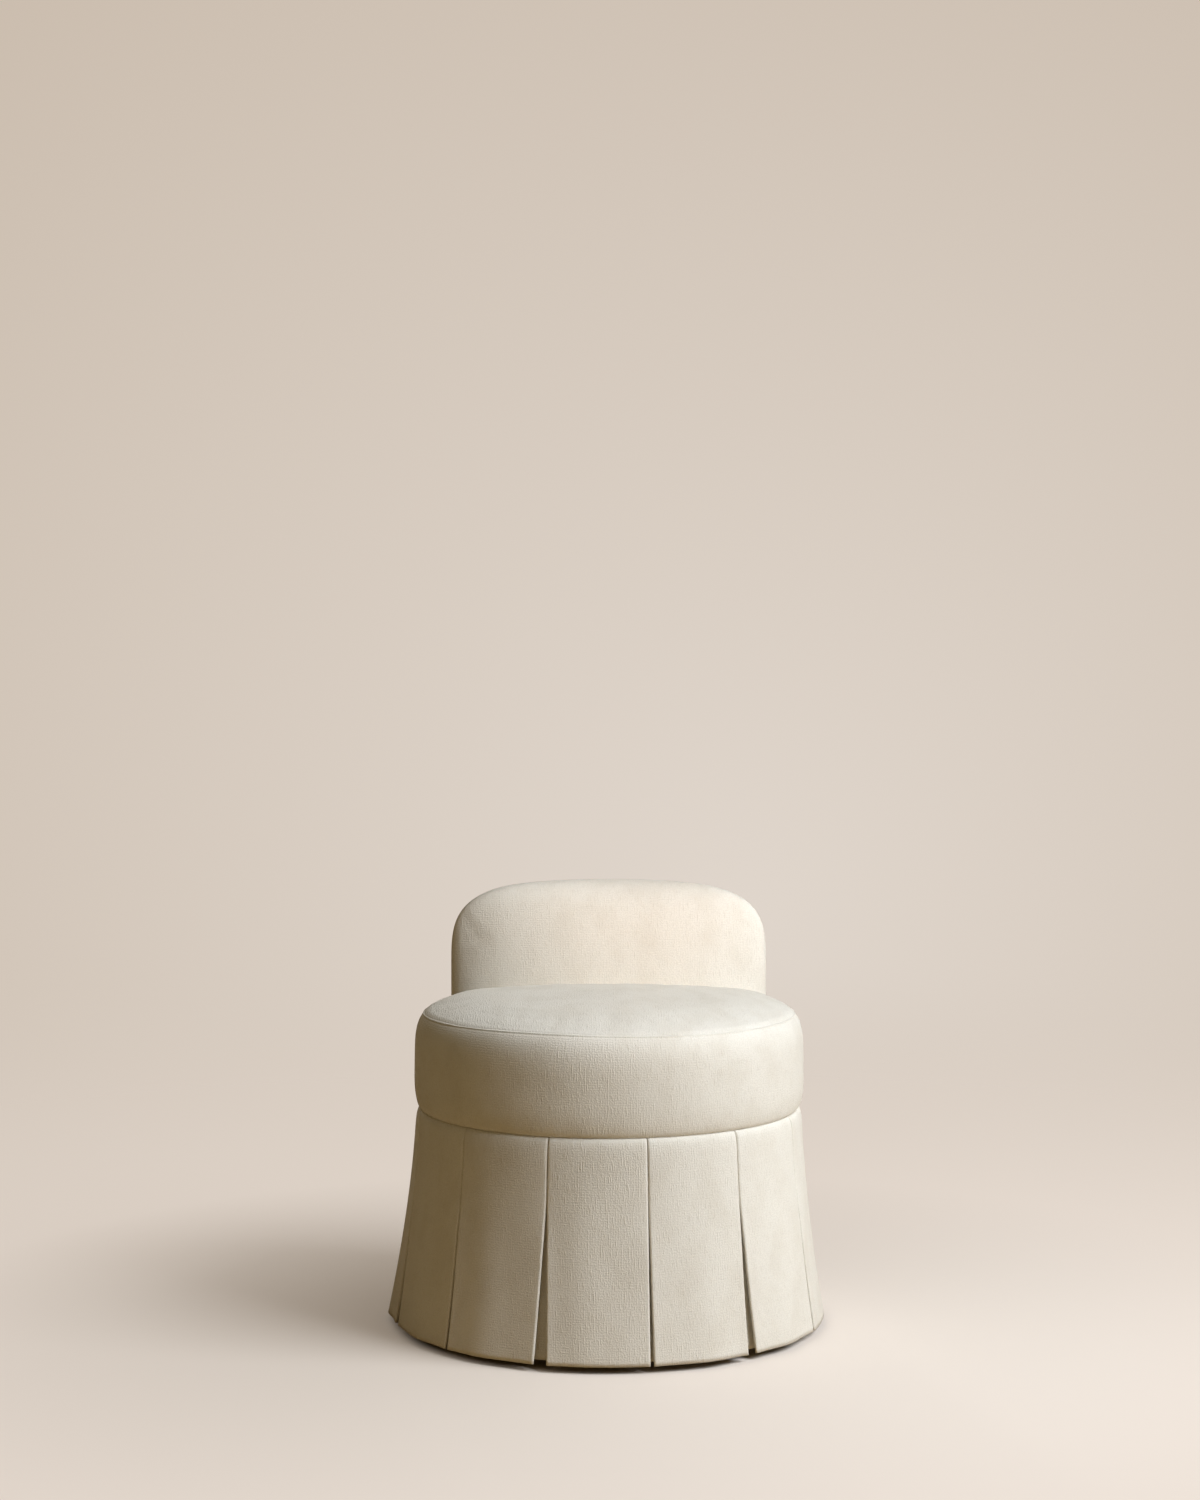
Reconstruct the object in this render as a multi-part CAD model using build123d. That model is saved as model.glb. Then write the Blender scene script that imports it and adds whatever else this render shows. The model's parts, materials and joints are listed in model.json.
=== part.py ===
from build123d import *
import math
import os

# Skirted swivel stool, in millimetres. The floor is z = 0, the seat turns about the Z axis,
# and the stool faces -Y with its low back at +Y.

# Clearances
fit_gap = 0.02  # a bolt, nail or bush in its hole
running_gap = 0.06  # the pivot turning in its bush
race_gap = 0.2  # a ball in its race or its cage
turning_gap = 0.1  # the pivot's head over its washer
cloth_gap = 0.3  # between neighbouring layers of cloth and foam

# Plinth and the glides nailed under it
glide_count = 6
glide_radius = 12.0
glide_height = 6.0
glide_chamfer = 1.0
glide_inset = 30.0
nail_radius = 1.5
nail_length = 15.0
nail_head_radius = 4.0
nail_head_height = 1.5
plinth_thickness = 24.0
plinth_recess = 15.0
plinth_chamfer = 2.0

# Ball-bearing swivel
plate_side = 200.0
plate_corner = 12.0
plate_thickness = 3.0
plate_bolt_inset = 15.0
ball_count = 24
ball_radius = 4.0
ball_circle_radius = 70.0
race_depth = 1.2
cage_thickness = 1.5
cage_margin = 4.0
pivot_radius = 7.0
pivot_head_radius = 12.0
pivot_head_height = 3.0
pivot_room = 8.0
bush_wall = 2.0
washer_radius = 14.0
washer_thickness = 1.5

# Bolts, tee nuts and wood screws
bolt_radius = 3.0
bolt_head_radius = 6.0
bolt_head_height = 2.4
bolt_tip = 1.5
bolt_head_room = 1.0
counterbore_depth = 8.0
tee_flange_radius = 9.0
tee_flange_thickness = 1.5
tee_barrel_radius = 4.2
tee_barrel_length = 9.0
screw_radius = 2.2
screw_head_radius = 4.5
post_screw_length = 50.0
post_screw_spacing = 20.0
bracket_screw_length = 18.0
bracket_screw_spacing = 14.0

# Wooden drum that carries the seat
deck_radius = 245.0
deck_thickness = 18.0
vent_count = 5
vent_radius = 12.0
vent_circle_radius = 110.0
floor_thickness = 18.0
floor_overhang = 10.0
post_count = 6
post_side = 45.0
post_chamfer = 3.0
post_length = 212.0
post_inset = 55.0

# Skirt of inverted box pleats
pleat_count = 12
first_pleat_angle = -19.0  # degrees from the front towards +X, if all pleats were evenly spaced
pleat_crowding = 3.3  # degrees by which the pleats at the sides are drawn to the front
crowding_angle = 6.0  # middle of the crowding, in degrees from the front
strip_thickness = 2.0
cloth_thickness = 2.2
pleat_return = 32.0
stitch_depth = 84.0
stitched_gap = 0.6
hem_gaps = (17.0, 4.5, 13.0, 10.0, 14.0, 8.0, 12.0, 15.0, 9.0, 13.0, 8.0, 4.0)
hem_height = 9.5
skirt_swell = 4.0
swell_depth = 8.0
skirt_flare = 30.0
flare_power = 1.5
skirt_slices = 10
underlay_width = 72.0
underlay_recess = 6.0
underlay_lift = 6.0

# Seat cushion: a side that swells over its foot, then one round shoulder up to the crown
cover_thickness = 2.0
seat_thickness = 153.0
seat_belly = 5.7
belly_height = 48.0
belly_power = 3.0
shoulder_power = 4.9  # squareness of the shoulder up its side and over its top
crown_power = 11.2
crown_dome = 14.3  # how far the crown's slow dome rises from the edge to the middle
seam_inset = 6.3
profile_steps = 7
wadding_edge = 6.0

# Half-moon back: a board inside a thick pad, slightly round in front and rounder behind
back_height = 285.0
back_half_width = 220.0
back_shoulder_drop = 125.0
back_shoulder_power = 3.8
back_front_y = 100.0
back_end_y = 160.0
back_front_power = 2.2
back_rear_y = 256.0
back_rear_power = 1.6
back_nose = 50.0
back_nose_share = 0.45  # most of a thin slice that one rounded edge may take
back_slice_step = 10.5
back_slices = 8
board_thickness = 16.0
board_half_width = 145.0
board_rear_y = 194.0
board_margin = 24.0
board_corner = 60.0
bracket_spacing = 60.0
bracket_width = 30.0
bracket_thickness = 4.0
bracket_height = 120.0
bracket_foot = 34.0
bracket_hole_inset = 20.0

# Heights of the stack, from the floor up
plate_gap = 2 * (ball_radius + race_gap - race_depth)
lower_plate_z = glide_height + plinth_thickness
race_z = lower_plate_z + plate_thickness + plate_gap / 2
upper_plate_z = lower_plate_z + plate_thickness + plate_gap
floor_z = upper_plate_z + plate_thickness
post_z = floor_z + floor_thickness
deck_z = post_z + post_length
seat_z = deck_z + deck_thickness
belly_z = seat_z + belly_height
crown_z = seat_z + seat_thickness
back_z = seat_z + back_height

# Radii, from the deck out
plinth_radius = deck_radius - plinth_recess
floor_radius = deck_radius + floor_overhang
post_circle_radius = deck_radius - post_inset
glide_circle_radius = plinth_radius - glide_inset
pivot_hole_radius = pivot_head_radius + pivot_room
plate_bolt_place = plate_side / 2 - plate_bolt_inset
strip_radius = deck_radius + strip_thickness
fold_depth = 2 * cloth_thickness + stitched_gap
skirt_top_radius = strip_radius + cloth_thickness + 2 * cloth_gap + fold_depth
skirt_drop = seat_z - hem_height
pleat_pitch = 360.0 / pleat_count
bottom_seam_radius = skirt_top_radius
belly_radius = bottom_seam_radius + seat_belly
top_seam_radius = bottom_seam_radius - seam_inset
seam_turn = math.acos((top_seam_radius / belly_radius) ** (crown_power / 2))
board_front_y = board_rear_y - board_thickness


def polar(radius, degrees, z=0.0):
    """Point at a radius and an angle about the swivel axis."""
    turn = math.radians(degrees)
    return Vector(radius * math.cos(turn), radius * math.sin(turn), z)


def ring_places(count, radius, z):
    """Evenly turned places on a circle about the swivel axis."""
    return [Rot(0, 0, 360.0 * n / count) * Pos(radius, 0, z) for n in range(count)]


def corner_places(reach, z):
    """Four places at the corners of a square about the swivel axis."""
    return [Pos(x, y, z) for x in (-reach, reach) for y in (-reach, reach)]


def rod(radius, height):
    """Upright cylinder standing on the XY plane."""
    return Cylinder(radius, height, align=(Align.CENTER, Align.CENTER, Align.MIN))


def block(width, depth, height):
    """Upright box standing on the XY plane."""
    return Box(width, depth, height, align=(Align.CENTER, Align.CENTER, Align.MIN))


def turned(*edges):
    """Solid of revolution from a closed outline of radius and height."""
    return revolve(Plane.XZ * make_face(edges), Axis.Z)


def turned_polygon(*points):
    """Solid of revolution from a closed outline of straight lines."""
    return revolve(Plane.XZ * make_face(Polyline(*points, close=True)), Axis.Z)


def placed(shape, places):
    """The same shape at each place."""
    return [place * shape for place in places]


def group(shapes):
    """Separate solids kept together in one node."""
    return Compound([solid for shape in shapes for solid in shape.solids()])


def drilled(shape, tools):
    """A shape with each tool cut out of it."""
    for tool in tools:
        shape = shape - tool
    return shape


def wood_screw(length, room=0.0):
    """Countersunk screw with its flat head at z = 0, pointing down; room makes its hole."""
    shank = screw_radius + room
    head = screw_head_radius + room
    taper = screw_head_radius - screw_radius
    return turned_polygon(
        (0, 0), (head, 0), (shank, -taper), (shank, -(length - 2 * screw_radius)), (0, -length - room)
    )


def bolt(length):
    """Bolt whose head lies under z = 0 and whose shank stands up from it."""
    head = Pos(0, 0, -bolt_head_height) * rod(bolt_head_radius, bolt_head_height)
    return head + rod(bolt_radius, length)


def tee_nut():
    """Tee nut with its flange on z = 0 and its threaded barrel below."""
    flange = rod(tee_flange_radius, tee_flange_thickness)
    barrel = Pos(0, 0, -tee_barrel_length) * rod(tee_barrel_radius, tee_barrel_length)
    through = tee_barrel_length + tee_flange_thickness
    bore = Pos(0, 0, -tee_barrel_length) * rod(bolt_radius + fit_gap, through)
    return flange + barrel - bore


def tee_hole(depth):
    """Hole for a bolt below z = 0, wider at its top for a tee nut's barrel."""
    barrel = Pos(0, 0, -tee_barrel_length) * rod(tee_barrel_radius + fit_gap, tee_barrel_length)
    shank = Pos(0, 0, -depth) * rod(bolt_radius + fit_gap, depth)
    return barrel + shank


def make_glides():
    """Nylon glides under the plinth, and the nails moulded into them."""
    glide = chamfer(rod(glide_radius, glide_height).edges().group_by(Axis.Z)[0], glide_chamfer)
    seat_of_head = glide_height - nail_head_height
    glide = glide - Pos(0, 0, seat_of_head) * rod(nail_head_radius + fit_gap, nail_head_height)
    tip = 2 * nail_radius
    nail = Pos(0, 0, seat_of_head) * turned_polygon(
        (0, 0),
        (nail_head_radius, 0),
        (nail_head_radius, nail_head_height),
        (nail_radius, nail_head_height),
        (nail_radius, nail_head_height + nail_length - tip),
        (0, nail_head_height + nail_length),
    )
    places = ring_places(glide_count, glide_circle_radius, 0)
    return group(placed(glide, places)), group(placed(nail, places))


def make_plinth():
    """Round plywood plinth, bored for the glide nails, the pivot's head and the plate bolts."""
    disc = Pos(0, 0, glide_height) * rod(plinth_radius, plinth_thickness)
    disc = chamfer(disc.edges().group_by(Axis.Z)[0], plinth_chamfer)
    pivot_hole = Pos(0, 0, glide_height) * rod(pivot_hole_radius, plinth_thickness)
    nail_hole = rod(nail_radius + fit_gap, nail_length + fit_gap)
    head_hole = rod(bolt_head_radius + bolt_head_room, counterbore_depth)
    bolt_hole = head_hole + rod(bolt_radius + fit_gap, plinth_thickness)
    tools = [pivot_hole]
    tools += placed(nail_hole, ring_places(glide_count, glide_circle_radius, glide_height))
    tools += placed(bolt_hole, corner_places(plate_bolt_place, glide_height))
    return drilled(disc, tools)


def make_plinth_bolts():
    """Bolts that come up through the plinth into the lower plate."""
    grip = plinth_thickness - counterbore_depth
    fixing = bolt(grip + plate_thickness + bolt_tip)
    return group(placed(fixing, corner_places(plate_bolt_place, glide_height + counterbore_depth)))


def race_ring():
    """Ring of the balls' path with its running gap."""
    return Pos(0, 0, race_z) * Torus(ball_circle_radius, ball_radius + race_gap)


def swivel_plate(z, hole_radius):
    """Square swivel plate with a ball race, four bolt holes and a middle hole."""
    sheet = extrude(RectangleRounded(plate_side, plate_side, plate_corner), plate_thickness)
    tools = [Pos(0, 0, z) * rod(hole_radius, plate_thickness), race_ring()]
    tools += placed(rod(bolt_radius + fit_gap, plate_thickness), corner_places(plate_bolt_place, z))
    return drilled(Pos(0, 0, z) * sheet, tools)


def make_balls():
    """The bearing balls, and the cage that spaces them."""
    places = ring_places(ball_count, ball_circle_radius, race_z)
    inside = ball_circle_radius - ball_radius - cage_margin
    outside = ball_circle_radius + ball_radius + cage_margin
    cage = Pos(0, 0, race_z - cage_thickness / 2) * (
        rod(outside, cage_thickness) - rod(inside, cage_thickness)
    )
    pocket = Cylinder(ball_radius + race_gap, 2 * cage_thickness)
    return group(placed(Sphere(ball_radius), places)), drilled(cage, placed(pocket, places))


def make_pivot():
    """Headed pivot riveted to the lower plate, the bush it turns in and the washer under its head."""
    under_head = floor_z + washer_thickness + turning_gap
    shank = Pos(0, 0, lower_plate_z) * rod(pivot_radius, under_head - lower_plate_z)
    head = rod(pivot_head_radius, pivot_head_height)
    pivot = shank + Pos(0, 0, lower_plate_z - pivot_head_height) * head + Pos(0, 0, under_head) * head
    bush = rod(pivot_radius + bush_wall, plate_thickness)
    bush = bush - rod(pivot_radius + running_gap, plate_thickness)
    washer = rod(washer_radius, washer_thickness) - rod(pivot_radius + running_gap, washer_thickness)
    return pivot, Pos(0, 0, upper_plate_z) * bush, Pos(0, 0, floor_z) * washer


def post_places(z):
    """Places of the drum's posts at a height."""
    return ring_places(post_count, post_circle_radius, z)


def post_screw_places(z, flip):
    """Places of two screws at each post, heads up or heads down."""
    half = post_screw_spacing / 2
    return [place * Pos(0, side, 0) * Rot(flip, 0, 0) for place in post_places(z) for side in (-half, half)]


def make_drum():
    """Drum floor, posts and seat deck, with the screws that join them and the swivel's tee nuts."""
    low_places = post_screw_places(floor_z, 180)
    high_places = post_screw_places(seat_z, 0)
    screw_holes = placed(wood_screw(post_screw_length, fit_gap), low_places + high_places)
    disc = Pos(0, 0, floor_z) * rod(floor_radius, floor_thickness)
    middle = Pos(0, 0, floor_z) * rod(pivot_hole_radius, floor_thickness)
    bolt_holes = placed(tee_hole(floor_thickness), corner_places(plate_bolt_place, post_z))
    drum_floor = drilled(disc, [middle] + bolt_holes + screw_holes)
    stick = block(post_side, post_side, post_length)
    stick = chamfer(stick.edges().filter_by(Axis.Z), post_chamfer)
    posts = [drilled(post, screw_holes) for post in placed(stick, post_places(post_z))]
    vents = placed(rod(vent_radius, deck_thickness), ring_places(vent_count, vent_circle_radius, deck_z))
    deck = drilled(Pos(0, 0, deck_z) * rod(deck_radius, deck_thickness), vents + screw_holes)
    screw = wood_screw(post_screw_length)
    low_screws = group(placed(screw, low_places))
    high_screws = group(placed(screw, high_places))
    return drum_floor, posts, deck, low_screws, high_screws


def make_upper_plate_fixings():
    """Bolts up through the upper plate, and the tee nuts on the drum floor that take them."""
    fixing = bolt(plate_thickness + floor_thickness)
    bolts = group(placed(fixing, corner_places(plate_bolt_place, upper_plate_z)))
    nuts = group(placed(tee_nut(), corner_places(plate_bolt_place, post_z)))
    return bolts, nuts


def make_tack_strip():
    """Cardboard strip round the deck's edge that the skirt is stapled to."""
    ring = rod(strip_radius, deck_thickness) - rod(deck_radius, deck_thickness)
    return Pos(0, 0, deck_z) * ring


def skirt_radius(depth):
    """Outer radius of the skirt at a depth below the seat seam: a small swell, then the flare."""
    swell = skirt_swell * (1 - math.exp(-depth / swell_depth))
    return skirt_top_radius + swell + skirt_flare * (depth / skirt_drop) ** flare_power


def pleat_gap(depth, hem_gap):
    """Width of a pleat's opening: stitched shut at first, then opening to the hem."""
    opened = max(0.0, depth - stitch_depth) / (skirt_drop - stitch_depth)
    return stitched_gap + (hem_gap - stitched_gap) * opened


def slice_depths(drop):
    """Depths of the slices of a skirt piece: close ones at the swell, then even below the stitching."""
    below = skirt_slices - 5
    spread = [stitch_depth + (drop - stitch_depth) * n / below for n in range(below + 1)]
    return [0.0, swell_depth / 2, swell_depth, 3 * swell_depth] + spread


def sector_outline(z, corners):
    """Level outline of arcs and radial lines through corners of radius and angle."""
    edges = []
    for (radius, angle), (next_radius, next_angle) in zip(corners, corners[1:] + corners[:1]):
        start = polar(radius, angle, z)
        end = polar(next_radius, next_angle, z)
        if radius == next_radius:
            edges.append(ThreePointArc(start, polar(radius, (angle + next_angle) / 2, z), end))
        else:
            edges.append(Line(start, end))
    return make_face(edges)


def pleat_place(n):
    """Angle of a pleat from the front, with the pleats drawn a little closer together there."""
    even = first_pleat_angle + n * pleat_pitch
    return even - pleat_crowding * math.sin(math.radians(even - crowding_angle))


def panel_slice(depth, span, left_gap, right_gap):
    """Level slice of a skirt panel over a span of angle, its two edges folded back as pleat returns."""
    radius = skirt_radius(depth)
    face = radius - cloth_thickness
    fold = radius - fold_depth
    left = -span / 2 + math.degrees(pleat_gap(depth, left_gap) / 2 / radius)
    right = span / 2 - math.degrees(pleat_gap(depth, right_gap) / 2 / radius)
    turn = math.degrees(pleat_return / radius)
    corners = [(radius, left), (radius, right), (fold, right), (fold, right - turn)]
    corners += [(face, right - turn), (face, left + turn), (fold, left + turn), (fold, left)]
    return sector_outline(seat_z - depth, corners)


def underlay_slice(depth):
    """Level slice of a pleat's underlay, a strip that falls back behind the panels lower down."""
    recess = underlay_recess * (depth / skirt_drop) ** flare_power
    outer = skirt_radius(depth) - fold_depth - cloth_gap - recess
    inner = outer - cloth_thickness
    half = math.degrees(underlay_width / 2 / outer)
    corners = [(outer, -half), (outer, half), (inner, half), (inner, -half)]
    return sector_outline(seat_z - depth, corners)


def make_skirt():
    """The skirt's panels and the underlay behind each pleat, from the front pleat round."""
    panels = []
    underlays = []
    for n in range(pleat_count):
        start = pleat_place(n)
        span = pleat_place(n + 1) - start
        left_gap = hem_gaps[n % len(hem_gaps)]
        right_gap = hem_gaps[(n + 1) % pleat_count % len(hem_gaps)]
        panel_slices = [panel_slice(depth, span, left_gap, right_gap) for depth in slice_depths(skirt_drop)]
        underlay_slices = [underlay_slice(depth) for depth in slice_depths(skirt_drop - underlay_lift)]
        panel = loft(panel_slices, ruled=True)
        underlay = loft(underlay_slices, ruled=True)
        panels.append(Rot(0, 0, start + span / 2 - 90) * panel)
        underlays.append(Rot(0, 0, start - 90) * underlay)
    return panels, underlays


def shoulder_point(turn, skin):
    """Point of the seat's shoulder, from its belly at 0 to its crown at a right angle, drawn in by a skin."""
    out = math.cos(turn) ** (2 / crown_power) if turn < math.pi / 2 else 0.0
    up = math.sin(turn) ** (2 / shoulder_power)
    rise = crown_z - crown_dome - belly_z
    slope_up = shoulder_power / rise * up ** (shoulder_power - 1)
    slope_out = crown_power / belly_radius * out ** (crown_power - 1)
    slope_out += slope_up * 2 * crown_dome * out / belly_radius
    steep = math.hypot(slope_out, slope_up)
    return (
        belly_radius * out - skin * slope_out / steep,
        belly_z + rise * up + crown_dome * (1 - out**2) - skin * slope_up / steep,
    )


def foot_point(share, skin):
    """Point of the seat's side under its belly, from its foot at 0, drawn in by a skin."""
    swell = seat_belly * (1 - (1 - share) ** belly_power)
    return bottom_seam_radius + swell - skin, seat_z + belly_height * share


def boxing_side(skin):
    """Side of the seat from its lower seam to the seam on its shoulder."""
    low = [foot_point(n / profile_steps, skin) for n in range(profile_steps)]
    high = [shoulder_point(seam_turn * n / profile_steps, skin) for n in range(profile_steps + 1)]
    return Spline(*low, *high)


def crown_line(skin):
    """Crown of the seat from the seam on its shoulder to the middle."""
    edge = top_seam_radius / belly_radius
    shares = [edge * (1 - (n / profile_steps) ** 2) for n in range(profile_steps + 1)]
    return Spline(*[shoulder_point(math.acos(share ** (crown_power / 2)), skin) for share in shares])


def back_notch():
    """Space in the seat cushion behind the front of the back pad."""
    reach = belly_radius
    rim = [(x, pad_front(x) - cloth_gap) for x in pad_stations(0)]
    far = [(reach, rim[-1][1]), (reach, 2 * reach), (-reach, 2 * reach), (-reach, rim[0][1])]
    outline = make_face([Spline(*rim), Polyline(rim[-1], *far, rim[0])])
    return extrude(Pos(0, 0, seat_z) * outline, 2 * seat_thickness)


def make_seat():
    """Seat cushion round the back: foam, crown of wadding, top cover and boxing."""
    notch = back_notch()
    outer_seam = shoulder_point(seam_turn, 0)
    inner_seam = shoulder_point(seam_turn, cover_thickness)
    inside = turned(
        Line((0, seat_z), foot_point(0, cover_thickness)),
        boxing_side(cover_thickness),
        crown_line(cover_thickness),
        Line((0, crown_z - cover_thickness), (0, seat_z)),
    )
    foam_rise = inner_seam[1] - wadding_edge - seat_z
    foam_space = Pos(0, 0, seat_z) * rod(belly_radius, foam_rise)
    foam = (inside & foam_space) - notch
    wadding = inside - foam_space - notch
    top_cover = turned(
        Line(inner_seam, outer_seam),
        crown_line(0),
        Line((0, crown_z), (0, crown_z - cover_thickness)),
        crown_line(cover_thickness),
    )
    boxing = turned(
        Line(foot_point(0, cover_thickness), foot_point(0, 0)),
        boxing_side(0),
        Line(outer_seam, inner_seam),
        boxing_side(cover_thickness),
    )
    return foam, wadding, top_cover - notch, boxing - notch


def pad_stations(skin):
    """Places across the back pad where it is sliced, closer together near its ends."""
    half = back_half_width - skin
    turns = [math.radians(back_slice_step * n) for n in range(1, back_slices + 1)]
    side = [half * math.sin(turn) ** (2 / back_shoulder_power) for turn in turns]
    return [-x for x in reversed(side)] + [0.0] + side


def pad_top(x, half):
    """Height of the pad's upper edge: flat in the middle, falling over round shoulders."""
    fall = (1 - (abs(x) / half) ** back_shoulder_power) ** (1 / back_shoulder_power)
    return back_z - back_shoulder_drop * (1 - fall)


def pad_faces(x, half):
    """Front and rear of the pad at a place across it, drawn together at its round ends."""
    share = abs(x) / half
    front_full = (1 - share**back_front_power) ** (1 / back_front_power)
    rear_full = (1 - share**back_rear_power) ** (1 / back_rear_power)
    front = back_end_y - (back_end_y - back_front_y) * front_full
    return front, back_end_y + (back_rear_y - back_end_y) * rear_full


def pad_front(x):
    """Front of the pad at a place across it."""
    return pad_faces(x, back_half_width)[0]


def pad_slice(x, skin, bottom):
    """Upright slice of the back pad, drawn in by a skin thickness, with its upper edges rounded."""
    half = back_half_width - skin
    front, rear = pad_faces(x, half)
    front = front + skin
    rear = rear - skin
    top = pad_top(x, half) - skin
    nose = min(back_nose - skin, back_nose_share * (rear - front))
    cut = nose * (1 - math.sqrt(0.5))
    edges = [
        Line((front, bottom), (rear, bottom)),
        Line((rear, bottom), (rear, top - nose)),
        ThreePointArc((rear, top - nose), (rear - cut, top - cut), (rear - nose, top)),
        Line((rear - nose, top), (front + nose, top)),
        ThreePointArc((front + nose, top), (front + cut, top - cut), (front, top - nose)),
        Line((front, top - nose), (front, bottom)),
    ]
    return Plane.YZ.offset(x) * make_face(edges)


def back_form(skin, bottom):
    """Outside of the back pad, drawn in by a skin thickness everywhere but its foot."""
    return loft([pad_slice(x, skin, bottom) for x in pad_stations(skin)])


def make_back_board():
    """Upright plywood board inside the back, with round upper corners."""
    board = Pos(0, board_rear_y - board_thickness / 2, seat_z) * block(
        2 * board_half_width, board_thickness, back_height - board_margin
    )
    return fillet(board.edges().filter_by(Axis.Y).group_by(Axis.Z)[-1], board_corner)


def make_back():
    """Half-moon back: board, brackets and their fixings, foam and cover."""
    rows = [Pos(x, 0, 0) for x in (-bracket_spacing, 0.0, bracket_spacing)]
    leg = Pos(0, board_front_y - bracket_thickness / 2, seat_z) * block(
        bracket_width, bracket_thickness, bracket_height
    )
    foot = Pos(0, board_front_y - bracket_foot / 2, seat_z) * block(
        bracket_width, bracket_foot, bracket_thickness
    )
    bolt_heights = (seat_z + 2 * bracket_hole_inset, seat_z + bracket_height - bracket_hole_inset)
    rearward = Rot(-90, 0, 0)
    bolt_start = board_front_y - bracket_thickness
    grip = bracket_thickness + board_thickness
    bolt_places = [row * Pos(0, bolt_start, z) * rearward for row in rows for z in bolt_heights]
    nut_places = [row * Pos(0, board_rear_y, z) * rearward for row in rows for z in bolt_heights]
    screw_line = bolt_start - (bracket_foot - bracket_thickness) / 2
    pair = [
        Pos(x, screw_line, seat_z + bracket_thickness)
        for x in (-bracket_screw_spacing / 2, bracket_screw_spacing / 2)
    ]
    screw_places = [row * place for row in rows for place in pair]
    holes = placed(tee_hole(grip), nut_places)
    screw_holes = placed(wood_screw(bracket_screw_length, fit_gap), screw_places)
    bolt_holes = placed(rod(bolt_radius + fit_gap, grip), bolt_places)
    plain_brackets = placed(leg + foot, rows)
    brackets = group([drilled(bracket, bolt_holes + screw_holes) for bracket in plain_brackets])
    board = drilled(make_back_board(), holes)
    bolts = group(placed(bolt(grip), bolt_places))
    nuts = group(placed(tee_nut(), nut_places))
    screws = group(placed(wood_screw(bracket_screw_length), screw_places))
    cover = back_form(0, seat_z) - back_form(cover_thickness, deck_z)
    inside = back_form(cover_thickness, seat_z) - make_back_board()
    foam = drilled(inside, plain_brackets + bolts.solids() + nuts.solids())
    return board, brackets, bolts, nuts, screws, foam, cover, screw_holes


def save(name, shape):
    """Write one node of the stool."""
    export_step(shape, f"parts/{name}.step")


def save_row(name, shapes):
    """Write a row of like nodes, numbered from 01."""
    for number, shape in enumerate(shapes, start=1):
        save(f"{name}_{number:02d}", shape)


os.makedirs("parts", exist_ok=True)

glides, glide_nails = make_glides()
save("floor_glides", glides)
save("glide_nails", glide_nails)
save("plinth", make_plinth())
save("plinth_bolts", make_plinth_bolts())

balls, ball_cage = make_balls()
pivot, pivot_bush, pivot_washer = make_pivot()
plate_bolts, plate_tee_nuts = make_upper_plate_fixings()
save("swivel_lower_plate", swivel_plate(lower_plate_z, pivot_radius + fit_gap))
save("swivel_upper_plate", swivel_plate(upper_plate_z, pivot_radius + bush_wall + fit_gap))
save("bearing_balls", balls)
save("ball_cage", ball_cage)
save("pivot_rivet", pivot)
save("pivot_bush", pivot_bush)
save("pivot_washer", pivot_washer)
save("upper_plate_bolts", plate_bolts)
save("upper_plate_tee_nuts", plate_tee_nuts)

board, brackets, bracket_bolts, bracket_nuts, bracket_screws, back_foam, back_cover, deck_holes = make_back()
drum_floor, posts, deck, low_screws, high_screws = make_drum()
save("drum_floor", drum_floor)
save_row("drum_post", posts)
save("seat_deck", drilled(deck, deck_holes))
save("post_screws_lower", low_screws)
save("post_screws_upper", high_screws)
save("skirt_tack_strip", make_tack_strip())

panels, underlays = make_skirt()
save_row("skirt_panel", panels)
save_row("pleat_underlay", underlays)

foam, wadding, top_cover, boxing = make_seat()
save("seat_foam", foam)
save("seat_wadding", wadding)
save("seat_top_cover", top_cover)
save("seat_boxing", boxing)

save("back_board", board)
save("back_brackets", brackets)
save("back_bracket_bolts", bracket_bolts)
save("back_bracket_tee_nuts", bracket_nuts)
save("back_bracket_screws", bracket_screws)
save("back_foam", back_foam)
save("back_cover", back_cover)
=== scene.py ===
import json
import math
import random

import bmesh
import bpy
import numpy as np
from bpy.props import FloatProperty, FloatVectorProperty, IntProperty, PointerProperty
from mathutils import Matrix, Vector, kdtree, noise

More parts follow.
